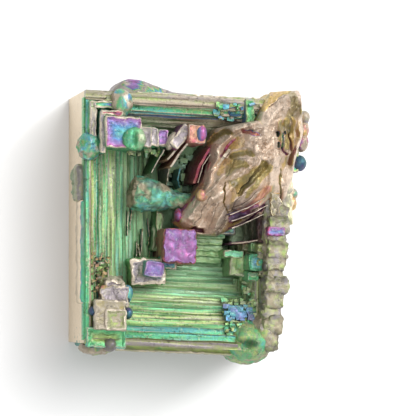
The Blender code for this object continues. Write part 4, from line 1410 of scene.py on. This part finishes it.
        shape.grain = shape.co[:, [1, 0, 2]] * (1, 1, 0.2)


# --------------------------------------------------------------------------- drops, plates and sides


@dataclass
class Club:
    """A drop drawn out over the pit from the torn corner, blunt at its free end."""

    start: Point3 = (-11.4, 5.6, 18.0)
    end: Point3 = (2.6, 3.4, 16.6)
    profile: tuple[Point2, ...] = (
        (0.0, 0.4), (0.1, 1.6), (0.2, 2.4), (0.5, 2.8), (0.9, 3.05), (2.6, 3.15), (5.0, 2.7), (7.6, 1.9), (10.4, 1.5),
        (14.0, 1.4),
    )  # fmt: skip
    rings: int = 90
    sides: int = 60

    def build(self, finish: Material) -> None:
        """Makes the club."""
        start, end = np.array(self.start), np.array(self.end)
        along = (end - start) / np.linalg.norm(end - start)
        across = np.cross(along, (0, 0, 1))
        across /= np.linalg.norm(across)
        up = np.cross(across, along)
        marks = np.linspace(0, 1, self.rings + 1) ** 1.6 * self.profile[-1][0]
        radii = np.interp(marks, *zip(*self.profile))
        angles = np.linspace(0, 2 * math.pi, self.sides, endpoint=False)
        circle = np.outer(np.cos(angles), across) + np.outer(np.sin(angles), up)
        co, faces = tube([start + d * along + r * circle for d, r in zip(marks, radii)])
        shape = Shape(co, faces)
        reach = (co - start) @ along
        tone = rough_noise(co / 1.6, 71)
        face = 1 - ease(0.3, 0.7, reach + 0.1 * tone)
        film = EMERALD - 0.04 + 0.07 * tone + 0.06 * ease(6, 12, reach)
        bare = np.clip(0.38 + 0.55 * face + 0.3 * tone, 0, 1)
        shape.paint(film, bare, np.clip(0.32 + 0.45 * rough_noise(co / 0.7, 75), 0.05, 0.75) * (1 - 0.7 * face))
        shape.grain = np.stack([reach, np.arctan2((co - start) @ up, (co - start) @ across) * 2, co[:, 2] * 0], 1)
        shape.roughen(0.28, 0.9, 72)
        make_piece("club_drop", shape, finish, 60.0)


@dataclass(frozen=True)
class Plate:
    """A thin upright plate along a line, whose top falls evenly from its start to its end."""

    line: tuple[Point2, ...]
    width: float
    top: Point2
    foot: float
    film: float = MAGENTA
    crown: float = SILVER
    crown_bare: float = 1.0
    dark: float = 0.2

    def shape(self, seed: int) -> Shape:
        """The plate's shell, uneven by seed."""
        unit, faces = box_grid(36, 4, 16)
        share = (unit[:, 0] + 1) / 2
        points = np.array(self.line, float)
        marks = np.linspace(0, 1, len(points))
        centre, ahead, behind = (along(points, marks, np.clip(share + step, 0, 1)) for step in (0, 0.1, -0.1))
        way = one_long(ahead - behind)
        side = np.stack([way[:, 1], -way[:, 0]], 1)
        high = (unit[:, 2] + 1) / 2
        crest = self.top[0] + (self.top[1] - self.top[0]) * share
        crest = crest + 0.3 * lattice_noise(np.stack([share * 7, share * 0, share * 0 + seed], 1), seed)
        wide = self.width / 2 * (1 - 0.25 * high) * (1 - 0.4 * ease(0.9, 1.0, high))
        plan = centre + side * (unit[:, 1] * wide)[:, None]
        co = np.stack([plan[:, 0], plan[:, 1], self.foot + (crest - self.foot) * high], 1)
        crown = ease(0.93, 0.995, high)
        film = self.film + (self.crown - self.film) * crown
        # Painted shade: darker towards the plate's foot; a negative darkness takes some of it off.
        dark = np.maximum(0, self.dark + 0.5 * (1 - high))
        grain = np.stack([share * 8, high * 6, share * 0 + seed], 1)
        return Shape(co, faces, film, crown * self.crown_bare, dark, grain).roughen(0.09, 1.2, seed + 3, 0.5)


PLATES = (
    Plate(((7.2, -3.7), (10.2, -3.45), (12.5, -2.8), (13.4, -1.6)), 0.45, (19.2, 23.4), 7.2, MAGENTA, ROSE, 0.6, 0.1),
    Plate(((3.7, 14.4), (2.4, 13.0), (0.8, 10.3), (0.1, 7.2)), 1.0, (24.6, 20.6), 7.4, CRIMSON, CRIMSON, 0.0, 0.3),
    Plate(((4.3, 14.4), (3.0, 13.0), (1.4, 10.3), (0.7, 7.2)), 0.24, (25.0, 21.0), 9.4, CRIMSON, ROSE, 1.0, -0.4),
    Plate(((4.5, 13.4), (2.6, 10.4), (1.7, 7.0)), 1.0, (25.3, 21.2), 7.3, CRIMSON, CRIMSON + 0.02, 0.1, 0.3),
    Plate(((5.6, 13.0), (3.7, 10.2), (2.6, 6.1)), 1.1, (26.0, 21.2), 7.2, CRIMSON - 0.02, ROSE, 0.75, -0.4),
    Plate(((-4.4, 10.1), (-4.4, 6.6)), 0.4, (20.0, 17.0), 7.4, LILAC),
    Plate(((-2.0, 9.9), (-2.3, 7.9), (-1.6, 6.5)), 0.45, (17.6, 15.4), 7.3, TEAL, CYAN, 0.2),
    Plate(((-5.9, 2.4), (-6.1, 0.0), (-5.6, -2.4)), 0.4, (16.6, 15.2), 7.2, GREEN, STRAW, 0.4),
    Plate(((-1.6, 14.4), (-3.0, 12.4), (-4.6, 9.9)), 0.75, (25.0, 22.4), 9.5, ROSE, ROSE, 0.9, 0.1),
    Plate(((-2.4, 15.0), (-3.6, 13.3), (-5.2, 11.2)), 0.7, (25.6, 23.0), 9.4, ROSE, ROSE, 0.9, 0.1),
    Plate(((-5.9, 12.9), (-7.0, 11.0), (-7.9, 8.9)), 0.35, (24.0, 21.6), 9.0, GREEN, SILVER, 1.0, 0.3),
    Plate(((6.6, -1.0), (9.6, 0.1), (13.2, 1.9)), 0.3, (22.3, 23.0), 14.0, MAGENTA, SILVER, 1.0, 0.3),
    Plate(((6.4, 0.2), (9.5, 1.3), (12.9, 3.1)), 0.3, (23.6, 23.8), 16.0, MAGENTA, ROSE, 0.9, 0.3),
    Plate(((5.9, 1.4), (9.0, 2.5), (12.2, 4.4)), 0.28, (24.6, 24.5), 16.0, VIOLET, SILVER, 1.0, 0.3),
)


def splinters() -> list[Shape]:
    """Thin plates that stand up from the lower west ledges, along them."""
    rng = np.random.default_rng(21)
    shapes = []
    for seed in range(60, 74):
        x, y, long = rng.uniform((-11.4, -7.5, 1.6), (-4.6, 0.5, 4.6))
        ledge = 15.2 - 0.82 * (x + 12.0)
        top = ledge + rng.uniform(0.2, 1.2)
        film, crown = rng.choice((GREEN, TEAL, EMERALD)), rng.choice((STRAW, LIME, SILVER))
        line = ((x, y), (x + rng.uniform(-0.3, 0.4), y + long))
        tops = (top, top - rng.uniform(-0.3, 0.6))
        shapes.append(Plate(line, 0.36, tops, 8.0, film, crown, crown_bare=0.5, dark=-0.2).shape(seed))
    return shapes


BEADS = (
    bead((-19.5, 13.4, 23.6), (2.2, 2.45, 2.2), TEAL + 0.04, 0.3, 0.15, 0.3, 1, 5, spread=0.16),
    bead((-13.8, 21.2, 24.6), (2.0, 2.5, 1.85), TEAL, 0.45, 0.1, 0.16, 2, spread=0.2),
    bead((-15.7, -21.9, 23.6), (1.3, 1.25, 1.5), LILAC, 0.2, 0.6, 0.04, 3),
    bead((-18.8, -15.9, 24.2), (0.85, 0.85, 1.0), BLUE, 0.0, 0.7, 0.05, 4),
    bead((-11.9, -16.3, 19.8), (0.9, 1.1, 1.6), BLUE, 0.0, 0.45, 0.05, 5),
    bead((-17.9, -22.5, 20.4), (3.1, 1.2, 2.9), STRAW, 0.5, 0.3, 0.3, 6, spread=0.3),
    bead((0.9, 4.8, 23.4), (1.1, 1.15, 1.3), GOLD + 0.05, 0.1, 0.0, 0.05, 7, spread=0.05),
    bead((-2.5, 1.4, 18.2), (0.75, 1.3, 1.6), MAGENTA, 0.1, 0.1, 0.05, 8),
    bead((-12.4, -12.8, 22.9), (0.95, 1.55, 1.0), CYAN, 0.0, 0.0, 0.08, 9),
    bead((-12.5, -13.9, 23.5), (0.4, 0.5, 0.4), BLUE, 0.0, 0.9, 0.03, 17, 3),
    bead((-16.9, -12.4, 23.6), (0.8, 1.2, 0.9), ROSE, 0.1, 0.15, 0.15, 18),
    bead((12.5, -7.9, 23.6), (0.65, 0.9, 1.1), LILAC, 0.0, 0.75, 0.05, 10),
    bead((18.6, 5.4, 17.4), (1.2, 1.2, 1.7), TEAL, 0.6, 0.1, 0.1, 11, spread=0.1),
    bead((18.5, 3.7, 17.9), (1.0, 1.4, 1.5), GOLD + 0.05, 0.1, 0.0, 0.08, 19, spread=0.05),
    bead((20.2, 11.1, 16.6), (1.4, 1.5, 1.7), BLUE, 0.0, 0.65, 0.06, 12),
    bead((20.9, 19.4, 17.6), (1.1, 1.4, 1.6), LILAC, 0.5, 0.2, 0.12, 13),
    bead((20.7, 17.3, 17.2), (1.2, 1.9, 1.9), ROSE - 0.02, 0.4, 0.05, 0.12, 14, spread=0.1),
    bead((20.5, 15.0, 17.0), (1.3, 1.9, 2.0), ROSE + 0.04, 0.4, 0.1, 0.12, 15, spread=0.12),
)


@dataclass
class ArchedPlate:
    """The rounded plate behind the north side."""

    outline: tuple[Point2, ...] = (
        (-14.3, 18.2), (-14.4, 23.3), (-13.6, 24.9), (-12.4, 25.9), (-11.0, 26.2), (-9.5, 26.15), (-8.0, 25.8),
        (-6.6, 25.25), (-5.3, 24.7), (-4.0, 24.25), (-2.5, 23.9), (0.7, 23.6), (3.6, 23.3), (3.8, 18.1),
    )  # fmt: skip
    z: Point2 = (7.6, 16.2)
    bevel: float = 1.1
    points: int = 160
    levels: int = 26

    def build(self, finish: Material) -> None:
        """Makes the arched plate."""
        loop = np.array([*self.outline, self.outline[0]], float)
        steps = np.concatenate([[0], np.cumsum(np.linalg.norm(np.diff(loop, axis=0), axis=1))])
        marks = np.linspace(0, steps[-1], self.points, endpoint=False)
        flat = along(loop, steps, marks)
        for _ in range(2):
            flat = (np.roll(flat, 1, 0) + 2 * flat + np.roll(flat, -1, 0)) / 4
        away = one_long(flat - flat.mean(axis=0))
        rings = []
        for level in range(self.levels + 1):
            z = self.z[0] + (self.z[1] - self.z[0]) * (level / self.levels)
            edge = min(z - self.z[0], self.z[1] - z) / self.bevel
            inset = self.bevel * (1 - math.sqrt(max(0.0, 1 - max(0.0, 1 - edge) ** 2)))
            rings.append(np.column_stack([flat - away * inset, np.full(len(flat), z)]))
        for inset in (2.0, 2.6, 3.2, 3.8):
            rings.append(np.column_stack([flat - away * inset, np.full(len(flat), self.z[1])]))
        co, faces = tube(rings[::-1])
        shape = Shape(co, [face[::-1] for face in faces])
        tone = rough_noise(co / 2.2, 81)
        film = LILAC + 0.04 * tone
        for x, y, colour in ((-10.6, 25.0, MAGENTA + 0.04), (-6.4, 23.6, BLUE)):
            near = np.hypot((co[:, 0] - x) / 1.5, co[:, 1] - y) + 0.5 * tone < 1.2
            film = np.where(near & (co[:, 2] > 9), colour + 0.05 * tone, film)
        shape.paint(film, np.clip(0.25 + 0.3 * rough_noise(co / 1.5, 83), 0, 1), np.clip(0.2 + 0.15 * tone, 0, 1))
        shape.roughen(0.08, 1.4, 82)
        make_piece("arched_plate", shape, finish)


@dataclass
class ScallopedSide:
    """Rounded blocks down the east side, and the drop that bulges from its south end."""

    columns: tuple[tuple[float, ...], ...] = (
        (-20.4, 11.8, 14.9, 1.7, 23.4, 3.0), (-18.2, 12.1, 15.8, 1.55, 24.2, -5.0),
        (-16.0, 11.9, 15.3, 1.45, 24.0, 4.0), (-13.7, 12.3, 15.9, 1.6, 24.5, -3.0),
        (-11.2, 12.2, 16.8, 1.35, 24.9, 2.0), (-9.2, 12.6, 15.9, 1.5, 24.3, 6.0),
        (-7.1, 12.5, 16.3, 1.4, 24.6, -3.0), (-4.9, 12.7, 16.6, 1.5, 24.9, 2.0),
        (-2.7, 13.0, 16.4, 1.35, 24.4, -6.0), (-0.5, 12.9, 16.9, 1.4, 24.6, 4.0),
        (1.8, 13.4, 16.9, 1.3, 23.1, 0.0),
    )  # fmt: skip
    foot: float = 1.2
    south: float = -25.75

    def column(self, seed: int, y: float, low: float, reach: float, half: float, top: float, turn: float) -> Shape:
        """A rounded column, worn on its face, with painted shade along its sides.

        Args:
            seed: Chooses its unevenness.
            y: The middle of its width.
            low: How far west it starts.
            reach: How far east it stands.
            half: Half its width.
            top: Its height.
            turn: Its turn about Z in degrees.

        Returns:
            The shape.
        """
        wide = half * 1.15
        block = Block((low, reach), (y - wide, y + wide), (self.foot, top), frame=0.0, sunk=0.0, round=0.8, rough=0.3,
                      turn=turn / 2)  # fmt: skip
        shape = block.shape(seed)
        tone, worn = rough_noise(shape.co / 1.3, seed), rough_noise(shape.co / 0.9, seed + 40)
        # Painted shade: darker towards the column's sides, where it meets its neighbours.
        crevice_painted_shade = ease(0.72, 1.0, np.abs(shape.co[:, 1] - y + SLANT * (low + reach) / 2) / half)
        dark = 0.15 + 0.35 * crevice_painted_shade + 0.3 * np.clip(rough_noise(shape.co / 0.6, seed + 20), 0, 1)
        shape.paint(STRAW + 0.01 + 0.1 * tone, np.clip(0.4 + 0.5 * worn, 0, 1), dark + 0.03)
        return shape

    def build(self, finish: Material) -> None:
        """Makes the rounded columns and the bulging drop."""
        shapes = [self.column(90 + i, *row) for i, row in enumerate(self.columns)]
        shapes.append(self.column(120, -9.5, 12.4, 15.2, 12.0, 23.2, 0.0))
        middle = (10.2, -21.4, 15.8)
        drop = bead(middle, (4.9, 4.25, 8.6), GREEN, 0.15, 0.0, 0.22, 101, 5, 0.12)
        x, y, z = drop.co.T
        dent = np.exp(-(((x - 9.6) / 1.3) ** 2) - ((y + 21.9) / 0.7) ** 2) * (z > 17)
        z -= 1.8 * dent
        # The dent is painted dark as well as sunk: painted shade in its hollow.
        drop.dark = np.clip(0.14 + 1.1 * dent, 0, 0.6)
        edge = ease(0.62, 0.95, np.linalg.norm(((drop.co - middle) / (4.9, 4.2, 8.3))[:, :2], axis=1))
        drop.bare = np.clip(0.3 * edge + 0.15 + 0.5 * rough_noise(drop.co / 1.2, 104), 0, 1) * (1 - dent)
        y[:] = np.maximum(y, self.south)
        shoulder = bead((12.9, -19.6, 14.8), (3.4, 4.4, 9.2), STRAW, 0.4, 0.05, 0.28, 103, 5, 0.14)
        make_piece("scalloped_side", joined([*shapes, drop, shoulder]), finish)


@dataclass
class Sides:
    """The crystal's outer sides: a flat west side, and stepped hollows to the south and north."""

    pit: Hopper = Hopper()
    top: float = 23.2
    liner_in: Point2 = (0.45, 0.05)
    liner_down: float = 1.4
    hollows: int = 5
    margin: float = 2.4
    step_in: float = 1.55
    step_deep: float = 0.62
    low_share: float = 0.72
    high_share: float = 0.62
    below_rim: float = 3.4
    south_gaps: Point2 = (1.0, 5.0)
    corner: float = 3.68
    beyond: float = 9.0

    def solid(self, name: str, rings: Sequence[Sequence[Sequence[float]]]) -> Object:
        """A solid from rings of points, the lowest first."""
        co, faces = tube([np.array(ring, float) for ring in rings])
        co[:, 1] -= SLANT * co[:, 0]
        return placed(name, new_mesh(name, co, faces))

    def box(self, name: str, x: Sequence[float], y: Sequence[float], z: Sequence[float]) -> Object:
        """A box from its spans."""
        return self.solid(name, [self.ring(x, y, h) for h in z])

    def ring(self, x: Sequence[float], y: Sequence[float], z: float) -> list[Point3]:
        """The four corners of a level rectangle."""
        return [(x[i], y[j], z) for i, j in SQUARE]

    def liner(self) -> Object:
        """The pit below the ledges, narrowing as they do."""
        pit, gap = self.pit, 0.4
        rings = [self.ring((pit.west + gap, pit.east - gap), (pit.south + gap, pit.north - gap), self.top + 0.6)]
        for level in range(len(WALLS[Side.WEST].treads) + 1):
            west, south, east, north = (
                self.liner_in[side in (Side.EAST, Side.NORTH)] + sum(WALLS[side].treads[:level]) for side in Side
            )
            z = pit.rim_z - self.liner_down - level * pit.rise
            rings.append(self.ring((pit.west + west, pit.east - east), (pit.south + south, pit.north - north), z))
        return self.solid("pit", rings[::-1])

    def build(self, finish: Material) -> None:
        """Makes the outer sides."""
        pit = self.pit
        body = self.box("outer_sides", (pit.west, pit.east), (pit.south, pit.north), (0.0, self.top))
        cutters = [self.liner()]
        for step in range(self.hollows):
            inset = self.margin + step * self.step_in
            deep = (step + 1) * self.step_deep
            up = (inset * self.low_share, self.top - self.below_rim - inset * self.high_share)
            span = (pit.west + inset + self.south_gaps[0], pit.east - inset - self.south_gaps[1])
            cutters.append(self.box("south hollow", span, (pit.south - self.beyond, pit.south + deep), up))
            span = (pit.west + inset, pit.east - inset)
            cutters.append(self.box("north hollow", span, (pit.north - deep, pit.north + self.beyond), up))
        x, y, half = pit.east + 0.3, pit.south - 0.3, self.corner
        diamond = ((x - half, y), (x, y - half), (x + half, y), (x, y + half))
        cutters.append(self.solid("corner", [[(*p, z) for p in diamond] for z in (-1.0, self.top + self.beyond)]))
        for cutter in cutters:
            cut = body.modifiers.new(cutter.name, "BOOLEAN")
            cut.operation, cut.object, cut.solver = "DIFFERENCE", cutter, "EXACT"
        mesh = grown(body)
        for cutter in cutters:
            bpy.data.objects.remove(cutter)
        self.tint(mesh)
        finish_piece("outer_sides", mesh, finish, 20.0)

    def tint(self, mesh: Mesh) -> None:
        """Leaves the west side bare and films the rest, greener in the pit."""
        normals, centres, co = (
            np.zeros((len(items), 3), np.float32) for items in (mesh.polygons, mesh.polygons, mesh.vertices)
        )
        mesh.polygons.foreach_get("normal", normals.ravel())
        mesh.polygons.foreach_get("center", centres.ravel())
        mesh.vertices.foreach_get("co", co.ravel())
        x, y, z = centres.T.astype(float) / MM
        outer = (normals[:, 0] < -0.9) & (x < self.pit.west + 1)
        middle, half_x, half_y, foot = -2.9, 16.6, 21.9, 5.0
        inside = (np.abs(x - middle) < half_x) & (np.abs(y) < half_y) & (z > foot)
        store(mesh, "film", np.where(inside, float(GREEN), float(STRAW)), "FACE")
        store(mesh, "bare", np.where(outer, 1.0, np.where(inside, 0.1, 0.3)), "FACE")
        store(mesh, "dark", np.where(outer, 0.0, np.where(inside, 0.25, 0.2)), "FACE")
        store(mesh, "grain", co.astype(float) / MM)


# --------------------------------------------------------------------------- stage


@dataclass(frozen=True)
class Studio:
    """The floor, the lights and the camera."""

    target: Point3 = (2.34, 2.61, 22.0)
    west_tilt: float = 10.1
    south_tilt: float = 1.9
    distance: float = 500.0
    field_width: float = 74.88
    sensor: float = 36.0
    clip_end: float = 5.0
    floor_half: float = 600.0
    paper: float = 0.615
    paper_roughness: float = 0.9
    sky: float = 0.6

    def floor(self) -> None:
        """A white floor that the crystal lies on."""
        corners = [((2 * i - 1) * self.floor_half, (2 * j - 1) * self.floor_half, 0) for i, j in SQUARE]
        mesh = new_mesh("floor", corners, [(0, 1, 2, 3)])
        material = bpy.data.materials.new("white paper")
        material.use_nodes = True
        shader = material.node_tree.nodes["Principled BSDF"]
        shader.inputs["Base Color"].default_value = (self.paper, self.paper, self.paper, 1.0)
        shader.inputs["Roughness"].default_value = self.paper_roughness
        mesh.materials.append(material)
        obj = placed("floor", mesh)

    def light(self, name: str, place: Point3, size: float, power: float, glossy: bool = True) -> None:
        """A square softbox that faces the crystal.

        Args:
            name: Its name.
            place: Where it stands.
            size: Its side.
            power: Its power in watts.
            glossy: Whether metal mirrors it.
        """
        data = bpy.data.lights.new(name, "AREA")
        data.shape, data.size, data.energy = "SQUARE", size * MM, power
        obj = placed(name, data)
        obj.location = Vector(place) * MM
        aim = Vector((0, 0, 10 * MM)) - obj.location
        obj.rotation_euler = aim.to_track_quat("-Z", "Y").to_euler()
        obj.visible_glossy = glossy

    def camera(self) -> None:
        """The camera, nearly straight above and leaning a little to the west and south."""
        lean = Vector((-math.tan(math.radians(self.west_tilt)), -math.tan(math.radians(self.south_tilt)), 1.0))
        back = lean.normalized()
        right = Vector((0, 1, 0)).cross(back).normalized()
        turn = Matrix((right, back.cross(right), back)).transposed()
        data = bpy.data.cameras.new("camera")
        data.sensor_width = self.sensor
        data.lens = self.sensor * self.distance / self.field_width
        data.clip_end = self.clip_end
        obj = placed("camera", data)
        obj.matrix_world = Matrix.Translation((Vector(self.target) + back * self.distance) * MM) @ turn.to_4x4()
        bpy.context.scene.camera = obj

    def build(self) -> None:
        """Sets the stage."""
        scene = bpy.context.scene
        scene.view_settings.view_transform = "Standard"
        scene.world = bpy.data.worlds.new("studio")
        scene.world.use_nodes = True
        sky = scene.world.node_tree.nodes["Background"].inputs
        sky["Color"].default_value = (1.0, 1.0, 1.0, 1.0)
        sky["Strength"].default_value = self.sky
        self.floor()
        self.light("key", (230.0, 250.0, 620.0), 420.0, 4.8, glossy=False)
        self.light("overhead", (-60.0, -20.0, 640.0), 320.0, 1.2, glossy=False)
        self.light("mirrored key", (260.0, 250.0, 620.0), 420.0, 1.4)
        self.light("glint", (420.0, 300.0, 420.0), 200.0, 2.2)
        self.light("fill", (-160.0, -420.0, 480.0), 240.0, 0.8)
        self.camera()


FINISHES = (
    OxideFinish("ledge oxide", depth_tint=0.6, specks=0.65),
    OxideFinish("dull oxide", streaks=0.1, clouds=0.16, smooth=0.52, rough=0.75, metallic=0.45, cracks=0.9,
                grain_height=1.1, bare_metal=(158, 148, 124), hollow=(34, 38, 28)),
    OxideFinish("block oxide", streaks=0.08, clouds=0.16, mottle=0.1, greying=0.2, line_height=0.2, smooth=0.45,
                bare_metal=(196, 184, 166)),
    OxideFinish("torn metal", streaks=0.05, clouds=0.14, greying=0.1, bare_metal=(206, 186, 167), hollow=(48, 34, 20),
                cracks=0.6, line_height=0.2, grain_height=1.1, grain_pitch=0.6, smooth=0.34, rough=0.62, mottle=0.1),
    OxideFinish("bead oxide", streaks=0.08, line_height=0.2, smooth=0.38),
    OxideFinish("cast side", streaks=0.1, clouds=0.1, bare_metal=(224, 207, 180), smooth=0.45, rough=0.62, specks=0.15,
                cracks=0.2, mottle=0.12, grain_height=0.4),
)  # fmt: skip


def main() -> None:
    """Builds the crystal and its stage."""
    logging.basicConfig(level=logging.INFO, format="%(name)s %(message)s")
    oxide, relief = oxide_group(), relief_group()
    ledges, dull, blocks, torn, beads, cast = (finish.build(oxide, relief) for finish in FINISHES)
    Studio().build()
    Hopper().build(ledges)
    Sides().build(cast)
    BlockRun("pit_floor", PIT_FLOOR, east_wall_blocks).build(ledges)
    BlockRun("west_rim", WEST_RIM).build(ledges)
    BlockRun("rim_ledges", RIM_LEDGES).build(cast)
    Rubble().build(ledges)
    BlockRun("north_blocks", NORTH_BLOCKS).build(blocks)
    BlockRun("north_west_arm", NORTH_WEST_ARM, north_west_growths).build(blocks)
    BlockRun("south_west_arm", SOUTH_WEST_ARM).build(blocks)
    TornCorner().build(torn)
    Club().build(dull)
    make_piece("thin_plates", joined([plate.shape(i) for i, plate in enumerate(PLATES)] + splinters()), blocks)
    make_piece("frozen_beads", joined(BEADS), beads)
    ArchedPlate().build(blocks)
    ScallopedSide().build(dull)


if __name__ == "__main__":
    main()
